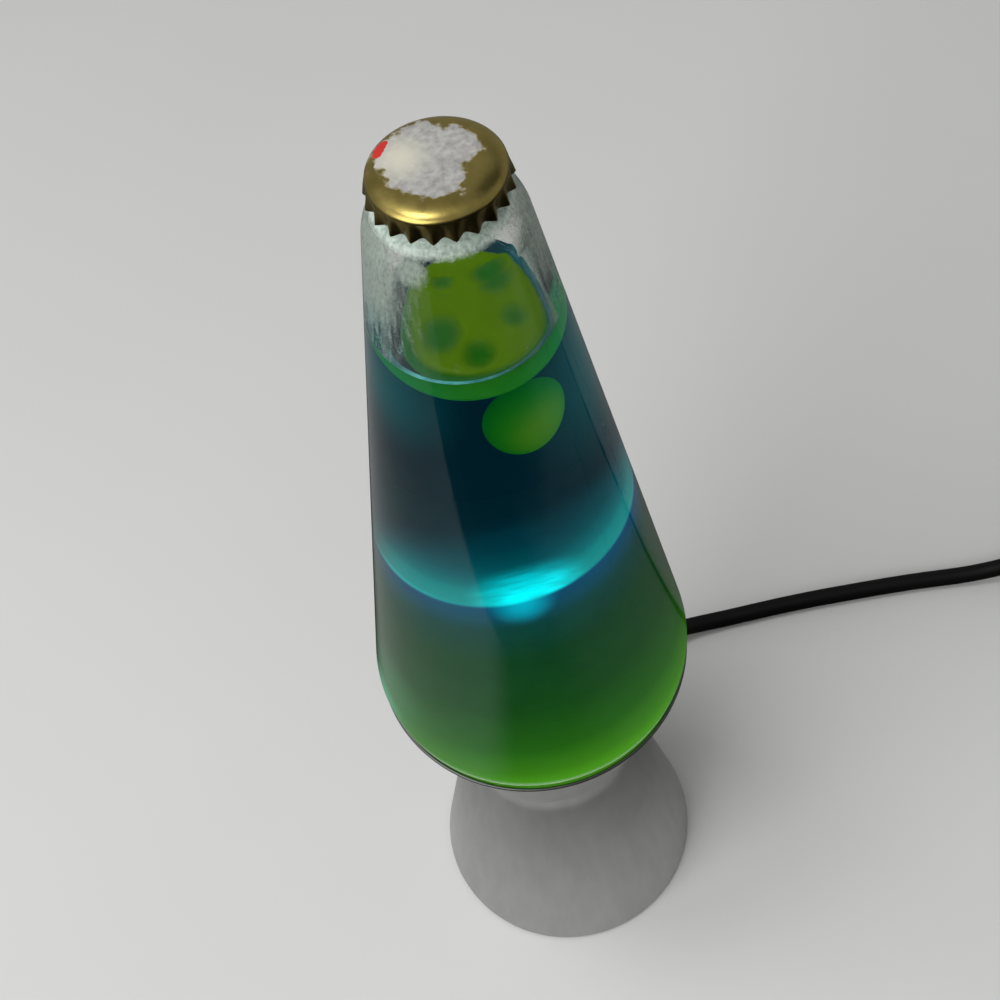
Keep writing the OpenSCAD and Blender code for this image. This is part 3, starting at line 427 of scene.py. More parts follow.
def maximum(tree, a, b):
    return sums(tree, "MAXIMUM", a, b)


def multiply(tree, a, b):
    return sums(tree, "MULTIPLY", a, b)


def blend_colour(tree, factor, a, b):
    """Colour a where the factor is 0 and b where it is 1."""
    node = add_node(tree, "ShaderNodeMix", data_type="RGBA")
    # The node has a set of sockets for each kind of value: these are the ones for colours
    for socket, value in ((node.inputs[0], factor), (node.inputs[6], a), (node.inputs[7], b)):
        if isinstance(value, bpy.types.NodeSocket):
            tree.links.new(value, socket)
        else:
            socket.default_value = value if isinstance(value, float) else (*value, 1)
    return node.outputs[2]


def near(tree, point, radius, squash=(1, 1, 1)):
    """1 at a point, fading to 0 at a radius, both in millimetres; squash weighs the axes."""
    where = add_node(tree, "ShaderNodeTexCoord")
    shift = add_node(tree, "ShaderNodeVectorMath", operation="SUBTRACT")
    shift.inputs[1].default_value = tuple(c * MM for c in point)
    tree.links.new(where.outputs["Object"], shift.inputs[0])
    scale = add_node(tree, "ShaderNodeVectorMath", operation="MULTIPLY")
    scale.inputs[1].default_value = squash
    tree.links.new(shift.outputs["Vector"], scale.inputs[0])
    node = add_node(tree, "ShaderNodeMapRange", interpolation_type="SMOOTHSTEP")
    node.inputs["From Min"].default_value = 0
    node.inputs["From Max"].default_value = radius * MM
    node.inputs["To Min"].default_value = 1
    node.inputs["To Max"].default_value = 0
    tree.links.new(vector_value(tree, "LENGTH", scale.outputs["Vector"]), node.inputs["Value"])
    return node.outputs["Result"]


def mix_shaders(tree, factor, a, b, output="Material Output"):
    """Shows shader a where the factor is 0 and b where it is 1."""
    both = add_node(tree, "ShaderNodeMixShader")
    for value, socket in zip((factor, a, b), both.inputs):
        tree.links.new(value, socket)
    tree.links.new(both.outputs["Shader"], tree.nodes[output].inputs["Surface"])


def seen_straight(tree):
    """1 for rays from the camera or through glass."""
    path = add_node(tree, "ShaderNodeLightPath")
    return maximum(tree, path.outputs["Is Camera Ray"], path.outputs["Is Transmission Ray"])


def matt(name):
    """Material without shine."""
    mat, tree, bsdf = new_material(name)
    bsdf.inputs["Roughness"].default_value = 1
    bsdf.inputs["Specular IOR Level"].default_value = 0
    return mat, tree, bsdf


# Globe glass

FLOOR_Z = GLOBE_Z + GLOBE_FLOOR
MENISCUS = 0.4
GLASS_IOR, LIQUID_IOR = 1.5, 1.333
PLAIN, FROST, DEW_AND_PAINTED_LIGHT, WET = range(4)
# Millimetres: where the outer wall's frost begins. Metres: soft steps of the dew, towards the liquid,
# where the dew takes painted cyan light, and towards the crown
FROST_Z = 337.5
DEW_LOW, DEW_TOP = (0.326, 0.310), (0.3385, 0.3425)


def clear(bsdf, ior):
    """Sets a shader to faintly green clear glass."""
    bsdf.inputs["Base Color"].default_value = (0.97, 0.985, 0.975, 1)
    bsdf.inputs["Transmission Weight"].default_value = 1
    bsdf.inputs["IOR"].default_value = ior
    bsdf.inputs["Roughness"].default_value = 0.0
    # Painted light: the specular tint colours the glass's reflections teal-green
    bsdf.inputs["Specular Tint"].default_value = (0.62, 1.0, 0.95, 1)


def clear_glass(name, ior):
    mat, tree, bsdf = new_material(name)
    clear(bsdf, ior)
    bump(tree, bsdf, noise(tree, 30, 1), 0.0003, 0.02)
    return mat


def dew_and_painted_light_glass(name, sides):
    """Wall over the liquid, with dew under the crown and, if asked, side patches that are partly dew
    and partly painted reflection; the dew near the liquid has painted cyan light.
    """
    mat, tree, bsdf = new_material(name)
    clear(bsdf, GLASS_IOR)
    dew = add_node(tree, "ShaderNodeBsdfPrincipled", Roughness=0.5)
    height, _ = axis_height(tree)
    tone = ramp(tree, noise(tree, 1500, 4, (1, 1, 0.5)), [
        (0.30, (0.34, 0.41, 0.36)), (0.5, (0.52, 0.62, 0.54)), (0.70, (0.66, 0.76, 0.69))])
    # Painted light: the dew near the liquid is tinted cyan
    low = smooth_way(tree, height, *DEW_LOW)
    tone = blend_colour(tree, multiply(tree, low, 0.5), tone, (0.16, 0.46, 0.46))
    tree.links.new(tone, dew.inputs["Base Color"])
    cover = smooth_way(tree, height, *DEW_TOP)
    if sides:
        # The left and right patches are partly dew and partly painted reflection; the corner patch adds
        # cover at the front left of the shoulder
        left = near(tree, (-18.5, -2.4, 333), 25.5, (1, 1.2, 0.62))
        right = multiply(tree, near(tree, (18.5, 0.0, 334), 24, (1, 1.25, 0.62)), 0.85)
        corner = near(tree, (-9.0, -12.0, 337), 7.0)
        cover = maximum(tree, maximum(tree, maximum(tree, left, corner), right), cover)
    streaks = noise(tree, 900, 3, (1, 1, 0.14))
    beads = noise(tree, 2200, 2)
    marks = sums(tree, "SUBTRACT", blend_colour(tree, 0.4, streaks, beads), 0.5)
    marks = multiply(tree, marks, sums(tree, "ADD", multiply(tree, low, 1.6), 0.9))
    cover = part_way(tree, sums(tree, "ADD", cover, marks), 0.26, 0.75)
    cover = multiply(tree, cover, 0.8)
    mix_shaders(tree, cover, bsdf.outputs["BSDF"], dew.outputs["BSDF"])
    return mat


def make_globe():
    mouth = (MOUTH_R, LIP_Z - 1.5)
    outer = rounded([
        (0, GLOBE_Z), (seat_line(GLOBE_Z), GLOBE_Z, 4), (WIDE_R, WIDE_Z, WIDE_ROUND),
        (SHOULDER_R, SHOULDER_Z, SHOULDER_ROUND), (LIP_R, RING_Z, 0.5), (GROOVE_R, GROOVE_Z, 0.4),
        (GROOVE_R, LIP_Z - LIP_H, 0.1), (LIP_R, LIP_Z - LIP_H, LIP_ROUND), (LIP_R, LIP_Z, 0.8),
        (MOUTH_R, LIP_Z, 0.8), mouth,
    ])
    wet_z = LIQUID_Z + MENISCUS
    inner = rounded([
        mouth, (MOUTH_R, BORE_Z, 1), (LIP_R - NECK_WALL, RING_Z, 2),
        (SHOULDER_R - NECK_WALL, SHOULDER_Z, SHOULDER_ROUND - NECK_WALL), (inside(wet_z), wet_z),
        (inside(WIDE_Z), WIDE_Z, WIDE_ROUND - GLOBE_WALL), (inside(FLOOR_Z), FLOOR_Z, 4), (0, FLOOR_Z),
    ])
    verts, faces = spin(outer + inner[1:], ROUND_SEGMENTS)
    globe = add_mesh("globe", verts, faces, "globe", sharp=60)
    dress(globe, clear_glass("globe_glass", GLASS_IOR), dew_and_painted_light_glass("globe_glass_frost", sides=False),
          dew_and_painted_light_glass("globe_glass_dew_and_painted_light", sides=True),
          clear_glass("globe_glass_wet", GLASS_IOR / LIQUID_IOR))
    first_inner = (len(outer) - 1) * ROUND_SEGMENTS
    for poly in globe.data.polygons:
        if poly.index < first_inner:
            poly.material_index = FROST if poly.center.z > FROST_Z * MM else PLAIN
        elif poly.center.z < wet_z * MM:
            poly.material_index = WET
        elif poly.center.z < BORE_Z * MM:
            poly.material_index = DEW_AND_PAINTED_LIGHT
    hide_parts("globe_glass")


# Liquid and wax

# Millimetres: how far the liquid's side and the pool's reach into the glass, the liquid's depth in the
# pool, the width of its climbing edge, and how far back that edge is lit
LIQUID_SINK, POOL_SINK, LIQUID_DEPTH, CLIMB_W, CLIMB_BACK = 0.15, 0.05, 14, 2.4, 2.0
CLIMB_STEPS = 8
SIDE, TOP, EDGE = range(3)
DYE, DYE_DENSITY = (0.02, 0.74, 0.787, 1), 150
LIQUID_GLOW, LIQUID_GLOW_LEVEL = (0.0, 0.72, 1.0, 1), 0.56
# Metres: heights over which the wax's painted glow changes tone, the step to the pool's top and that
# top's radius, and the steps to the pool's painted unlit back
POOL_TONES_Z, RAFT_TONES_Z = (0.146, 0.230), (0.297, 0.3076)
POOL_TOP_Z, POOL_TOP_R = (0.2282, 0.2294), 0.0296
POOL_BACK_Y, POOL_BACK_Z = (-0.004, 0.012), (0.214, 0.224)


def pool_top(r):
    return POOL_Z + POOL_RISE * (1 - (r / inside(POOL_Z)) ** POOL_FALL)


def liquid_material(name, ior, lit=False):
    """Dyed water; seen through the globe its side adds no bend of its own, its top does.
    Where lit, the wall glows a little at both sides under the top."""
    mat, tree, bsdf = new_material(name)
    bsdf.inputs["Base Color"].default_value = (1, 1, 1, 1)
    bsdf.inputs["Transmission Weight"].default_value = 1
    bsdf.inputs["IOR"].default_value = ior
    bsdf.inputs["Roughness"].default_value = 0.0
    bump(tree, bsdf, noise(tree, 60, 1), 0.0002, 0.03)
    if lit:
        left = multiply(tree, near(tree, (-19, -6, 298), 22), 0.058)
        right = multiply(tree, near(tree, (21, 2, 288), 30, (1, 1, 0.75)), 0.062)
        sides = blend_colour(tree, maximum(tree, left, right), (0, 0, 0), (0.0, 0.95, 1.0))
        tree.links.new(sides, bsdf.inputs["Emission Color"])
        bsdf.inputs["Emission Strength"].default_value = 1
    dye = add_node(tree, "ShaderNodeVolumeAbsorption", Color=DYE, Density=DYE_DENSITY)
    glow = add_node(tree, "ShaderNodeEmission", Color=LIQUID_GLOW, Strength=LIQUID_GLOW_LEVEL)
    both = add_node(tree, "ShaderNodeAddShader")
    tree.links.new(dye.outputs["Volume"], both.inputs[0])
    tree.links.new(glow.outputs["Emission"], both.inputs[1])
    tree.links.new(both.outputs["Shader"], tree.nodes["Material Output"].inputs["Volume"])
    return mat


def wet_line():
    """Lit edge where the liquid climbs the glass."""
    mat, tree, bsdf = new_material("liquid_edge")
    bsdf.inputs["Roughness"].default_value = 0.2
    tone = ramp(tree, noise(tree, 260, 3), [(0.35, (0.02, 0.22, 0.24)), (0.7, (0.12, 0.62, 0.62))])
    tone = blend_colour(tree, near(tree, (-8, -17, 307), 17), (0.006, 0.10, 0.09), tone)
    tree.links.new(tone, bsdf.inputs["Base Color"])
    tree.links.new(tone, bsdf.inputs["Emission Color"])
    bsdf.inputs["Emission Strength"].default_value = 0.36
    return mat


def make_liquid():
    low, high = POOL_Z - LIQUID_DEPTH, LIQUID_Z + MENISCUS
    outline = [(0, low), (inside(low) + LIQUID_SINK, low), (inside(high) + LIQUID_SINK, high)]
    for i in range(CLIMB_STEPS + 1):
        t = i / CLIMB_STEPS
        outline.append((inside(LIQUID_Z) - 0.1 - CLIMB_W * t, LIQUID_Z + MENISCUS * (1 - t) ** 2.5))
    outline.append((0, LIQUID_Z))
    verts, faces = spin(outline, ROUND_SEGMENTS)
    liquid = add_mesh("dyed_liquid", verts, faces, "globe", sharp=50)
    dress(liquid, liquid_material("liquid", 1.0, lit=True), liquid_material("liquid_top", LIQUID_IOR),
          wet_line())
    for poly in liquid.data.polygons:
        poly.material_index = SIDE
        if poly.center.z > LIQUID_Z * MM - 1e-6:
            climbing = poly.center.z > (LIQUID_Z + 0.5 * MENISCUS) * MM
            poly.material_index = EDGE if climbing and poly.center.y < CLIMB_BACK * MM else TOP
    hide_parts("liquid")


def wax_base(name, colour, gloss=0.0):
    mat, tree, bsdf = new_material(name)
    bsdf.inputs["Roughness"].default_value = 0.4
    bsdf.inputs["Specular IOR Level"].default_value = gloss
    # The wax's emission, its colour set by each caller, is painted light standing in for the bulb's
    # light through the wax
    bsdf.inputs["Emission Strength"].default_value = 1
    tone = ramp(tree, noise(tree, 90, 3), [(0.35, shade(colour, 0.8)), (0.65, shade(colour, 1.2))])
    tree.links.new(tone, bsdf.inputs["Base Color"])
    bump(tree, bsdf, noise(tree, 160, 2), 0.0002, 0.15)
    return mat, tree, bsdf


def pool_material():
    """Wax glowing with painted light as if lit through from below: bright by the cup's rim, dark above,
    with painted glowing patches at the left and front, a lit ring at the top's edge and a painted unlit
    back.
    Heights are in metres, taken as if the top were level."""
    mat, tree, bsdf = wax_base("wax_pool", (0.006, 0.03, 0.008))
    height, reach = axis_height(tree)
    where, x, y, _ = place(tree)
    lean = vector_value(tree, "DOT_PRODUCT", where, (*(c / inside(POOL_Z) for c in POOL_LEAN), 0))
    height = sums(tree, "SUBTRACT", height, sums(tree, "ADD", lean, POOL_LIFT * MM))
    side = ramp(tree, part_way(tree, height, *POOL_TONES_Z), [
        (0.0, (0.065, 0.30, 0.008)), (0.06, (0.040, 0.20, 0.006)), (0.2, (0.014, 0.105, 0.004)),
        (0.45, (0.005, 0.050, 0.006)), (0.72, (0.003, 0.038, 0.012)), (0.88, (0.002, 0.040, 0.040)),
        (0.95, (0.002, 0.055, 0.11)), (1.0, (0.002, 0.065, 0.19)),
    ])
    # Painted light: a glowing patch low on the pool's left
    warm_glow = near(tree, (-39, -8, 165), 24)
    side = blend_colour(tree, multiply(tree, warm_glow, 0.15), side, (0.12, 0.6, 0.3))
    rim_glow = near(tree, (-40, 2, 152), 17, (1, 0.7, 1.7))
    side = blend_colour(tree, multiply(tree, rim_glow, 0.6), side, (0.12, 0.85, 0.5))
    # Painted light: a cyan glowing spot at the front, by the top's edge
    front_glow = near(tree, (-0.5, -27, 230.5), 8, (0.9, 1, 1))
    side = blend_colour(tree, multiply(tree, front_glow, 0.75), side, (0.0, 0.6, 0.8))
    ring = ramp(tree, part_way(tree, reach, 0.0, POOL_TOP_R), [
        (0.0, (0.003, 0.07, 0.085)), (0.5, (0.004, 0.13, 0.145)), (0.72, (0.006, 0.21, 0.22)),
        (0.79, (0.008, 0.29, 0.28)), (0.90, (0.01, 0.31, 0.30)), (0.925, (0.02, 0.52, 0.50)),
    ])
    glow = near(tree, (2, -26, 233), 12, (0.75, 1, 1))
    glow = multiply(tree, glow, spread(tree, noise(tree, 330, 2, (0.3, 1.5, 1)), 0.5, 1.25))
    ring = blend_colour(tree, glow, ring, (0.0, 1.4, 1.5))
    behind = sums(tree, "SUBTRACT", y, multiply(tree, x, 0.3))
    top = smooth_way(tree, height, *POOL_TOP_Z)
    glowing = blend_colour(tree, top, side, ring)
    unlit = multiply(tree, smooth_way(tree, behind, *POOL_BACK_Y),
                     smooth_way(tree, height, *POOL_BACK_Z))
    glowing = blend_colour(tree, unlit, glowing, (0.002, 0.03, 0.04))
    tree.links.new(glowing, bsdf.inputs["Emission Color"])
    return mat


def make_pool():
    low = FLOOR_Z - POOL_SINK
    outline = rounded([
        (0, low), (inside(FLOOR_Z) + POOL_SINK, low, 4),
        (inside(WIDE_Z) + POOL_SINK, WIDE_Z, WIDE_ROUND - GLOBE_WALL),
        (inside(POOL_Z) + POOL_SINK, POOL_Z),
    ])
    steps = 24
    across = [inside(POOL_Z) * math.sqrt(1 - i / steps) for i in range(1, steps)]
    outline += [(r, pool_top(r)) for r in across]
    outline.append((0, pool_top(0)))

    def leaned(r, z, a):
        share = min(max((z - WIDE_Z) / (POOL_Z - WIDE_Z), 0), 1) ** 3
        over = r / inside(POOL_Z)
        rise = POOL_LIFT + over * (POOL_LEAN[0] * math.cos(a) + POOL_LEAN[1] * math.sin(a))
        new_z = z + rise * share
        return r * inside(new_z) / inside(z) if share else r, new_z

    verts, faces = spin(outline, ROUND_SEGMENTS, shape=leaned)
    pool = add_mesh("wax_bulk", verts, faces, "globe", sharp=0)
    dress(pool, pool_material())
    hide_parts("wax_pool")


def raft_material():
    mat, tree, bsdf = wax_base("wax_raft", (0.04, 0.07, 0.003), gloss=0.08)
    height, _ = axis_height(tree)
    # Painted light: the raft's glow is greener low down and yellower at its top
    depth = ramp(tree, part_way(tree, height, *RAFT_TONES_Z), [
        (0.0, (0.002, 0.085, 0.004)), (0.5, (0.002, 0.11, 0.008)), (0.76, (0.002, 0.095, 0.006)),
        (0.87, (0.003, 0.080, 0.003)), (0.95, (0.036, 0.105, 0.001)), (1.0, (0.058, 0.13, 0.001)),
    ])
    tree.links.new(depth, bsdf.inputs["Emission Color"])
    return mat


def raft_reach(angle, rise):
    """Share of its radius that the raft reaches to: nearly to the glass, flat at the top's left."""
    wide = RAFT_WIDE + RAFT_SWAY * math.sin(angle)
    flat = RAFT_FLAT + RAFT_FLARE * (1 - rise)
    flat = flat / max(0.01, -math.cos(angle)) if math.cos(angle) < 0 else 99.0
    return (flat ** -RAFT_CORNER + wide ** -RAFT_CORNER) ** (-1 / RAFT_CORNER) / RAFT_R


def make_raft():
    top = LIQUID_Z + RAFT_OVER
    low = top - RAFT_EDGE
    top_r = RAFT_R - RAFT_LEAN / 2
    steps, rings, segments = 8, 40, 160
    hull = RAFT_H - RAFT_EDGE
    outline = [(RAFT_R * i / steps, low - hull * (1 - (i / steps) ** 2)) for i in range(steps)]
    inner = (RAFT_R * (steps - 1) / steps, low - 1)
    side = rounded([inner, (RAFT_R, low, 1.5), (top_r, top, 1.5), (0, top)])[1:-1]
    outline += side
    outline += [(side[-1][0] * (1 - i / rings), top) for i in range(1, rings + 1)]

    def dimpled(r, z, a):
        r *= raft_reach(a, min(max((z - low) / (top - low), 0), 1))
        if z < low:
            return r, z
        x, y = r * math.cos(a), r * math.sin(a)
        for cx, cy, cr in DIMPLES:
            d = math.hypot(x - cx, y - cy) / cr
            if d < 1:
                z -= DIMPLE_DEPTH * cr * (1 - d * d) ** 2
        return r, z

    verts, faces = spin(outline, segments, RAFT_AT, dimpled)
    raft = add_mesh("wax_float", verts, faces, "globe", sharp=0)
    dress(raft, raft_material())
    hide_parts("wax_raft")


def blob_material():
    mat, tree, bsdf = wax_base("wax_blob", (0.02, 0.03, 0.002))
    # Painted light: the drop glows brighter and yellower towards its front right
    tone = ramp(tree, near(tree, (12, -16, 284), 17), [
        (0.0, (0.001, 0.085, 0.001)), (0.35, (0.012, 0.11, 0.001)), (0.8, (0.05, 0.14, 0.001)),
    ])
    tree.links.new(tone, bsdf.inputs["Emission Color"])
    return mat


def make_blob():
    steps, segments = 40, 72
    outline = []
    for i in range(steps + 1):
        a = math.pi * i / steps - math.pi / 2
        r = BLOB_W / 2 * math.cos(a) if 0 < i < steps else 0
        outline.append((r, BLOB_AT[2] + BLOB_H / 2 * math.sin(a)))
    verts, faces = spin(outline, segments, BLOB_AT[:2])
    blob = add_mesh("wax_drop", verts, faces, "blob", sharp=0)
    dress(blob, blob_material())
    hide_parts("wax_blob")


# Crown

# Round patches of paper and of the red scrap on the crown's top, each (x, y, radius) in millimetres
PAPER_SPOTS = [
    (-4.6, 4.0, 8.6), (3.6, 3.2, 7.2), (-0.3, -2.8, 7.8), (-1.6, 6.6, 6.8), (-4.6, -0.6, 6.8),
]
SCRAP_SPOTS = [(-8.4, 7.8, 1.6), (-9.0, 7.1, 1.9), (-9.5, 6.3, 2.0), (-9.9, 5.4, 1.7)]


def spots(tree, places):
    """1 in the middle of any spot of (x, y, radius) on the crown's top, fading to 0 at its edge."""
    cover = 0.0
    for x, y, r in places:
        cover = maximum(tree, near(tree, (x, y, CROWN_Z + CROWN_LIFT), r, (1, 1, 0.4)), cover)
    return cover


def crown_material():
    """Lacquered gold, darker on the skirt, with the torn remains of a plain paper sticker on the top.
    """
    mat, tree, bsdf = new_material("crown_gold")
    bsdf.inputs["Specular IOR Level"].default_value = 0.1
    wear = noise(tree, 220, 5)
    height, _ = axis_height(tree)
    top = CROWN_Z + CROWN_LIFT
    skirt = part_way(tree, height, (top - CROWN_H) * MM, (top - CROWN_ROUND) * MM)
    gold = ramp(tree, wear, [(0.3, (0.29, 0.225, 0.062)), (0.7, (0.37, 0.295, 0.092))])
    # Darker tone for the skirt
    dull = ramp(tree, noise(tree, 500, 4), [(0.35, (0.09, 0.07, 0.022)), (0.65, (0.25, 0.20, 0.07))])
    gold = blend_colour(tree, skirt, dull, gold)
    cover = spots(tree, PAPER_SPOTS)
    ragged = multiply(tree, sums(tree, "SUBTRACT", noise(tree, 520, 4), 0.5), 0.9)
    torn = sums(tree, "ADD", cover, ragged)
    torn = multiply(tree, part_way(tree, torn, 0.16, 0.30), part_way(tree, cover, 0.0, 0.04))
    fuzz = ramp(tree, noise(tree, 700, 4), [(0.34, (0.27, 0.265, 0.255)), (0.68, (0.42, 0.415, 0.40))])
    cream = near(tree, (-6.0, 3.0, top), 8.0)
    paper = blend_colour(tree, cream, fuzz, (0.56, 0.54, 0.45))
    scrap = part_way(tree, spots(tree, SCRAP_SPOTS), 0.3, 0.42)
    paper = blend_colour(tree, scrap, paper, (0.50, 0.035, 0.03))
    cover = maximum(tree, torn, scrap)
    tree.links.new(blend_colour(tree, cover, gold, paper), bsdf.inputs["Base Color"])
    tree.links.new(sums(tree, "SUBTRACT", 1.0, cover), bsdf.inputs["Metallic"])
    rough = spread(tree, wear, 0.26, 0.36)
    tree.links.new(maximum(tree, rough, multiply(tree, cover, 0.85)), bsdf.inputs["Roughness"])
    grain = blend_colour(tree, cover, noise(tree, 1200, 3), noise(tree, 700, 5))
    bump(tree, bsdf, grain, 0.00003, 0.3)
    return mat


def flute_wave(angle):
    """From -1 in a flute's hollow to 1 on its narrow crest."""
    x = FLUTES * angle
    return 0.5 * math.cos(x) + 0.5 * (1 - 2 * abs(math.sin(x / 2)))


def crown_outline(inset):
    """Half outline of (radius, height, flute depth), from the top's middle to the skirt's edge."""
    wide, high = CROWN_CURVE - inset, CROWN_ROUND - inset
    bend, low = CROWN_Z - CROWN_ROUND, CROWN_Z - CROWN_H + inset / 4
    steps = 12
    out = [(0, CROWN_Z - inset, 0), (CROWN_FLAT, CROWN_Z - inset, 0)]
    for i in range(steps + 1):
        a = math.radians(90 * i / steps)
        out.append((CROWN_TOP_R - CROWN_CURVE + wide * math.sin(a), bend + high * math.cos(a), 0))
    for i in range(1, steps + 1):
        s = i / steps
        r = CROWN_TOP_R + (CROWN_R - CROWN_TOP_R) * s - inset
        out.append((r, bend + (low - bend) * s, FLUTE_DEPTH * s ** 0.7))
    return out


def tip_back(height, degrees):
    """Turn backwards about a point on the axis."""
    centre = Matrix.Translation((0, 0, height))
    return centre @ Matrix.Rotation(math.radians(-degrees), 4, "X") @ centre.inverted()


def make_crown():
    outer, inner = crown_outline(0), crown_outline(CROWN_T)
    rows = inner + outer[::-1]
    # Depth of the flutes at each point of the outline
    depth_at = {(round(r, 6), round(z, 6)): d for r, z, d in rows}

    def fluted(r, z, a):
        depth = depth_at[(round(r, 6), round(z, 6))] * flute_wave(a)
        return r + depth, z - FLUTE_DROP * depth

    verts, faces = spin([(r, z) for r, z, _ in rows], FLUTES * FLUTE_STEPS, shape=fluted)
    lean = Matrix.Translation((0, 0, CROWN_LIFT)) @ tip_back(CROWN_Z, CROWN_LEAN)
    crown = add_mesh("crown", [lean @ Vector(v) for v in verts], faces, "globe", sharp=50)
    dress(crown, crown_material())
    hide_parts("crown_cap")


# Base shell

def spun_metal():
    """Satin metal spun on a lathe: fine rings round the axis, dull smudges and painted shade darkening
    the rim's top edge.
    """
    mat, tree, bsdf = new_material("base_metal")
    bsdf.inputs["Metallic"].default_value = 1
    height, _ = axis_height(tree)
    rings = add_node(tree, "ShaderNodeTexNoise", Scale=2600.0, Detail=3.0)
    rings.noise_dimensions = "1D"
    tree.links.new(height, rings.inputs["W"])
    smudge = noise(tree, 38, 5)
    grain = noise(tree, 260, 3, (1, 1, 0.15))
    tone = ramp(tree, smudge, [(0.3, (0.40, 0.40, 0.395)), (0.7, (0.47, 0.47, 0.465))])
    streaks = ramp(tree, grain, [(0.3, (0.36, 0.36, 0.355)), (0.7, (0.52, 0.52, 0.515))])
    tone = blend_colour(tree, 0.25, tone, streaks)
    # Painted shade: the rim's top edge is darkened where the globe sits in it
    rim_shade = smooth_way(tree, height, (RIM_Z - 1.1) * MM, (RIM_Z - 0.5) * MM)
    tone = blend_colour(tree, multiply(tree, rim_shade, 0.8), tone, (0.05, 0.055, 0.05))
    tree.links.new(tone, bsdf.inputs["Base Color"])
    tree.links.new(spread(tree, smudge, 0.40, 0.48), bsdf.inputs["Roughness"])
    bump(tree, bsdf, rings.outputs["Fac"], 0.00003, 0.12)
    return mat


def make_base():
    outline = rounded([
        (FOOT_R - HEM_W, PLATE_Z), (FOOT_R - HEM_W, FOOT_Z), (FOOT_R, FOOT_Z, 0.6),
        (WAIST_R, WAIST_Z, WAIST_ROUND), (RIM_R, RIM_Z, 0.45), (RIM_R - BASE_WALL, RIM_Z, 0.45),
        (WAIST_R - BASE_WALL, WAIST_Z, WAIST_ROUND + BASE_WALL),
        (foot_line(PLATE_Z) - BASE_WALL, PLATE_Z), (FOOT_R - HEM_W, PLATE_Z),
    ], 20)
    verts, faces = spin(outline, ROUND_SEGMENTS)
    base = add_mesh("base", verts, faces, "base", sharp=40)
    dress(base, spun_metal())
    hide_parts("base_shell")


make_globe()
make_liquid()
make_pool()
make_raft()
make_blob()
make_crown()
make_base()


# Materials of the pieces shown as solids

SOLID_LOOKS = {
    "cap_liner": plastic("liner", (0.7, 0.7, 0.68), 0.6),
    "element_coil": metal("element_wire", (0.5, 0.51, 0.52), 0.3),
    "base_plate": plastic("plate", (0.035, 0.035, 0.038), 0.55),
    "feet": plastic("foot_rubber", (0.02, 0.02, 0.02), 0.75),
    "lampholder": plastic("holder_plastic", (0.03, 0.03, 0.033), 0.3),
    "lead_live": plastic("wire_brown", (0.2, 0.09, 0.04), 0.4),
    "lead_neutral": plastic("wire_blue", (0.04, 0.12, 0.4), 0.4),
    "strain_relief": plastic("bush_rubber", (0.012, 0.012, 0.013), 0.5),
    "switch_upper": plastic("switch_plastic", (0.016, 0.016, 0.017), 0.42),
    "switch_rocker": plastic("rocker_plastic", (0.02, 0.02, 0.021), 0.28),
    "coil_tie": plastic("tie_plastic", (0.03, 0.03, 0.03), 0.5),
    "plug_body": plastic("plug_plastic", (0.016, 0.016, 0.017), 0.42),
    "plug_pins": metal("pin_metal", (0.72, 0.71, 0.68), 0.18),
    "holder_bracket": metal("zinc_steel", (0.6, 0.61, 0.62), 0.34),
    "nipple": metal("brass", (0.68, 0.52, 0.22), 0.28),
    "bulb_cap": metal("bulb_metal", (0.7, 0.7, 0.69), 0.3),
    "bulb_mount": metal("filament", (0.5, 0.49, 0.47), 0.3),
}
SAME_LOOKS = {
    "lampholder": ["bulb_insulator"],
    "base_plate": ["cord_clamp"],
    "switch_upper": ["switch_lower"],
    "holder_bracket": ["bracket_screws", "bracket_nuts", "clamp_screws", "switch_screws"],
    "nipple": ["nipple_nut", "holder_sleeve", "holder_contact", "terminal_screws", "switch_contacts"],
    "bulb_cap": ["bulb_contact"],
}
sheath = plastic("cord_sheath", (0.003, 0.003, 0.0031), 0.5, gloss=0.15)


def frosted_glass():
    mat, tree, bsdf = new_material("bulb_glass")
    tone = ramp(tree, noise(tree, 70), [(0.35, (0.9, 0.9, 0.86)), (0.65, (0.96, 0.96, 0.93))])
    tree.links.new(tone, bsdf.inputs["Base Color"])
    bsdf.inputs["Transmission Weight"].default_value = 0.6
    bsdf.inputs["Roughness"].default_value = 0.4
    bsdf.inputs["Emission Color"].default_value = (1.0, 0.82, 0.55, 1)
    bsdf.inputs["Emission Strength"].default_value = 0.6
    bump(tree, bsdf, noise(tree, 900, 2), 0.00004, 0.2)
    return mat


for node, mat in SOLID_LOOKS.items():
    for name in [node] + SAME_LOOKS.get(node, []):
        dress(NODES[name], mat)
dress(NODES["bulb_glass"], frosted_glass())
dress(NODES["cord_inner"], sheath)
dress(lead, sheath)
dress(stored, sheath)


# Stage, in metres

# Floor, and the distance from the lamp over which it runs into the backdrop
FLOOR_SIZE, GROUND_Z, FLOOR_FADE = 3.0, -0.0002, (0.42, 1.15)
# Cards for reflections: on the floor, upright in front, high behind, and over the put-away lead
CARD_BACK, CARD_Z = 0.6, 0.001
WALL_HALF, WALL_Y, WALL_LOW, WALL_HIGH = 1.6, -1.2, 0.01, 1.2
PANEL_HALF, PANEL_AT, PANEL_AIM = 0.22, (0.36, 0.43, 1.05), (0, 0, 0.35)
STORE_LOW, STORE_HIGH, STORE_Z, STORE_FADE = (0.17, -0.07), (0.44, 0.11), 0.0165, 0.03
# Where the lead's line ends in reflections
LINE_END, LINE_Z = (1.6, -0.02), 0.017
# Where the floor beyond the lead begins, as a soft step along y
BEYOND_LEAD = (0.055, 0.075)
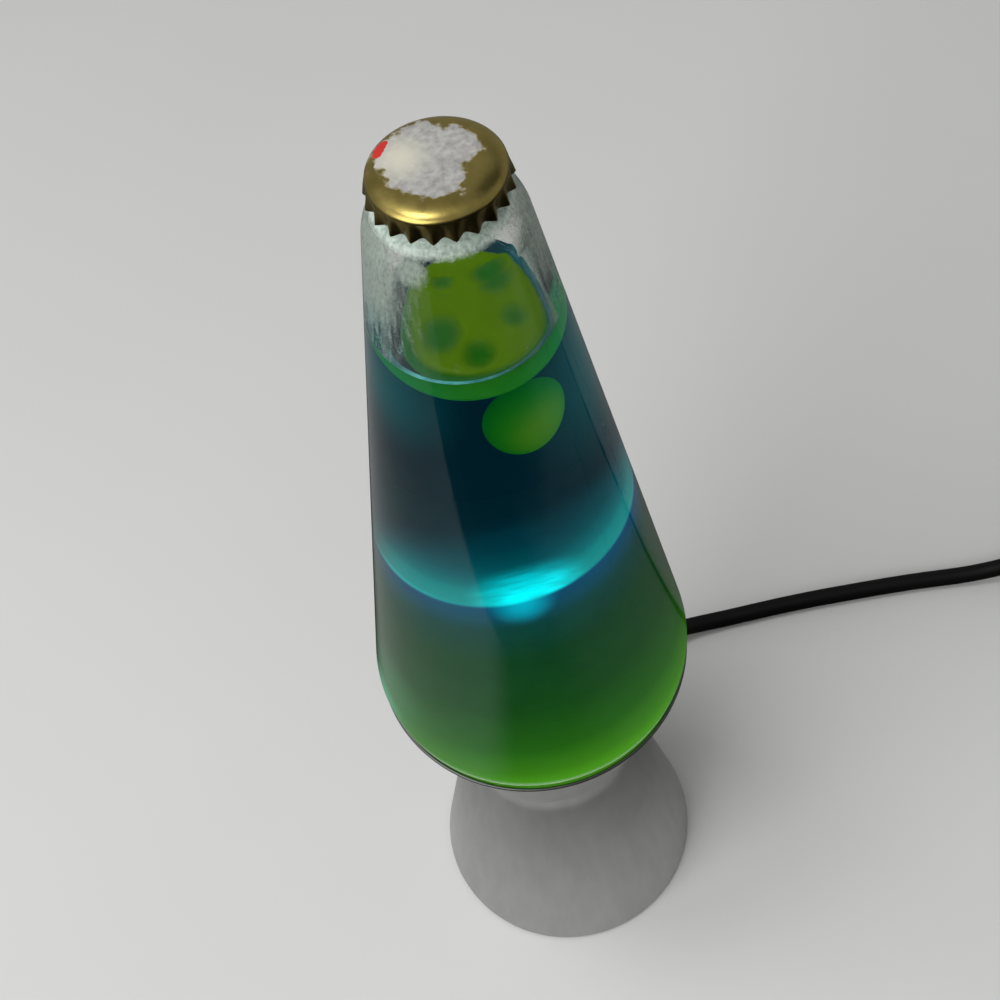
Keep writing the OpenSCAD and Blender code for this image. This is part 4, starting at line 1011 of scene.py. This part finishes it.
# Pieces that the photograph doesn't show, so reflections don't either
UNMIRRORED = ["coil_tie", "plug_body", "plug_pins", "switch_lower", "switch_upper", "switch_rocker"]
BACKDROP, BACKDROP_LEVEL = (0.72, 0.72, 0.71, 1), 0.78
SKY, SKY_LEVEL = (0.90, 0.91, 0.9, 1), 0.40
# Square lights: name, place, target, side, power in watts
LIGHTS = [
    ("key", (-0.66, -0.48, 0.98), (0, 0, 0.1), 0.8, 9),
    ("top", (-0.28, 0.08, 1.25), (0, 0, 0.3), 0.25, 3),
]


def floor_material():
    """Matt card that runs into the backdrop's tone far from the lamp."""
    mat, tree, bsdf = matt("floor")
    tone = ramp(tree, noise(tree, 3, 3), [(0.3, (0.66, 0.66, 0.65)), (0.7, (0.70, 0.70, 0.69))])
    tree.links.new(tone, bsdf.inputs["Base Color"])
    backdrop = add_node(tree, "ShaderNodeEmission", Color=BACKDROP, Strength=BACKDROP_LEVEL)
    _, reach = axis_height(tree)
    far = multiply(tree, seen_straight(tree), smooth_way(tree, reach, *FLOOR_FADE))
    mix_shaders(tree, far, bsdf.outputs["BSDF"], backdrop.outputs["Emission"])
    return mat


def make_quad(name, corners):
    """Stage piece with four corners."""
    mesh = bpy.data.meshes.new(name)
    mesh.from_pydata(corners, [], [(0, 1, 2, 3)])
    obj = bpy.data.objects.new(name, mesh)
    scene.collection.objects.link(obj)
    return obj


def make_plane(name, low, high, z):
    """Level stage piece between two corners of (x, y)."""
    flat = [low, (high[0], low[1]), high, (low[0], high[1])]
    return make_quad(name, [(x, y, z) for x, y in flat])


def shade_material():
    """Dark for reflections only: clear round the base, thinner at the left, at the right and beyond the
    lead, and thickest beyond an edge in front, which is crisp on the left and soft on the right."""
    mat, tree, bsdf = matt("front_shade")
    bsdf.inputs["Base Color"].default_value = (0.01, 0.01, 0.011, 1)
    where, x, y, _ = place(tree)
    middle = smooth_way(tree, x, -0.115, -0.055)
    right = multiply(tree, smooth_way(tree, x, 0.02, 0.16), 0.35)
    left = multiply(tree, smooth_way(tree, x, -0.12, -0.34), 0.5)
    deep = sums(tree, "SUBTRACT", maximum(tree, middle, left), right)
    beyond = multiply(tree, smooth_way(tree, y, *BEYOND_LEAD), smooth_way(tree, x, 0.03, 0.08))
    deep = sums(tree, "SUBTRACT", deep, multiply(tree, beyond, 0.3))
    level = sums(tree, "ADD", multiply(tree, deep, 0.41), 0.59)
    edge = vector_value(tree, "DOT_PRODUCT", where, (0.2, -1, 0))
    crisp, soft = smooth_way(tree, edge, 0.17, 0.20), smooth_way(tree, edge, 0.02, 0.34)
    front = blend_colour(tree, smooth_way(tree, x, -0.02, 0.05), crisp, soft)
    level = maximum(tree, level, front)
    reach = vector_value(tree, "DISTANCE", where, (-0.005, -0.02, 0))
    cover = multiply(tree, level, smooth_way(tree, reach, 0.055, 0.115))
    mirrored = add_node(tree, "ShaderNodeLightPath").outputs["Glossy Depth"]
    cover = multiply(tree, cover, sums(tree, "MINIMUM", mirrored, 1.0))
    through = add_node(tree, "ShaderNodeBsdfTransparent")
    mix_shaders(tree, cover, through.outputs["BSDF"], bsdf.outputs["BSDF"])
    return mat


def dark_blue():
    mat, _, bsdf = matt("side_shade")
    bsdf.inputs["Base Color"].default_value = (0.006, 0.012, 0.02, 1)
    return mat


def store_material():
    """Stands for the shaded floor in reflections, where the put-away lead lies."""
    mat, tree, _ = new_material("store_shade")
    _, x, y, _ = place(tree)
    cover = 1.0
    for value, low, high in zip((x, y), STORE_LOW, STORE_HIGH):
        cover = multiply(tree, smooth_way(tree, value, low, low + STORE_FADE), cover)
        cover = multiply(tree, smooth_way(tree, value, high, high - STORE_FADE), cover)
    tone = ramp(tree, smooth_way(tree, y, *BEYOND_LEAD), [
        (0.0, (0.075, 0.075, 0.074)), (1.0, (0.13, 0.13, 0.129)),
    ])
    glow = add_node(tree, "ShaderNodeEmission", Strength=1.0)
    tree.links.new(tone, glow.inputs["Color"])
    through = add_node(tree, "ShaderNodeBsdfTransparent")
    mix_shaders(tree, cover, through.outputs["BSDF"], glow.outputs["Emission"])
    return mat


def reflected_only(obj, material):
    """Gives a stage piece its material and keeps it out of the camera's view, diffuse light and
    shadows.
    """
    obj.data.materials.append(material)
    obj.visible_camera = False
    obj.visible_diffuse = False
    obj.visible_shadow = False


def facing(at, target):
    """Turn that points -Z from a place to a target."""
    return (Vector(target) - Vector(at)).to_track_quat("-Z", "Y").to_euler()


def make_stage():
    floor = make_plane("floor", (-FLOOR_SIZE, -FLOOR_SIZE), (FLOOR_SIZE, FLOOR_SIZE), GROUND_Z)
    floor.data.materials.append(floor_material())
    dark, blue = shade_material(), dark_blue()
    card = make_plane("front_shade", (-FLOOR_SIZE, -FLOOR_SIZE), (FLOOR_SIZE, CARD_BACK), CARD_Z)
    reflected_only(card, dark)
    wall = make_quad("front_wall_shade", [
        (-WALL_HALF, WALL_Y, WALL_LOW), (WALL_HALF, WALL_Y, WALL_LOW),
        (WALL_HALF, WALL_Y, WALL_HIGH), (-WALL_HALF, WALL_Y, WALL_HIGH),
    ])
    reflected_only(wall, dark)
    panel = make_plane("side_shade", (-PANEL_HALF, -PANEL_HALF), (PANEL_HALF, PANEL_HALF), 0)
    panel.location = PANEL_AT
    panel.rotation_euler = facing(PANEL_AT, PANEL_AIM)
    reflected_only(panel, blue)
    cover = make_plane("store_shade", STORE_LOW, STORE_HIGH, STORE_Z)
    reflected_only(cover, store_material())
    start, half = lead_points[-1], CORD_D / 2 * MM
    line = make_quad("lead_line", [
        (start.x, start.y - half, LINE_Z), (LINE_END[0], LINE_END[1] - half, LINE_Z),
        (LINE_END[0], LINE_END[1] + half, LINE_Z), (start.x, start.y + half, LINE_Z),
    ])
    reflected_only(line, blue)
    for obj in (panel, cover, line):
        obj.visible_transmission = False
    for piece in [stored] + [NODES[n] for n in UNMIRRORED]:
        piece.visible_glossy = False


def area_light(name, at, target, side, power):
    data = bpy.data.lights.new(name, "AREA")
    data.shape = "RECTANGLE"
    data.size = data.size_y = side
    data.energy = power
    obj = bpy.data.objects.new(name, data)
    obj.location = at
    obj.rotation_euler = facing(at, target)
    scene.collection.objects.link(obj)


def make_lights():
    world = bpy.data.worlds.new("world")
    world.use_nodes = True
    scene.world = world
    tree = world.node_tree
    sky = tree.nodes["Background"]
    sky.inputs["Color"].default_value = SKY
    sky.inputs["Strength"].default_value = SKY_LEVEL
    backdrop = add_node(tree, "ShaderNodeBackground", Color=BACKDROP, Strength=BACKDROP_LEVEL)
    mix_shaders(tree, seen_straight(tree), sky.outputs["Background"], backdrop.outputs["Background"],
                "World Output")
    for light in LIGHTS:
        area_light(*light)


make_stage()
make_lights()
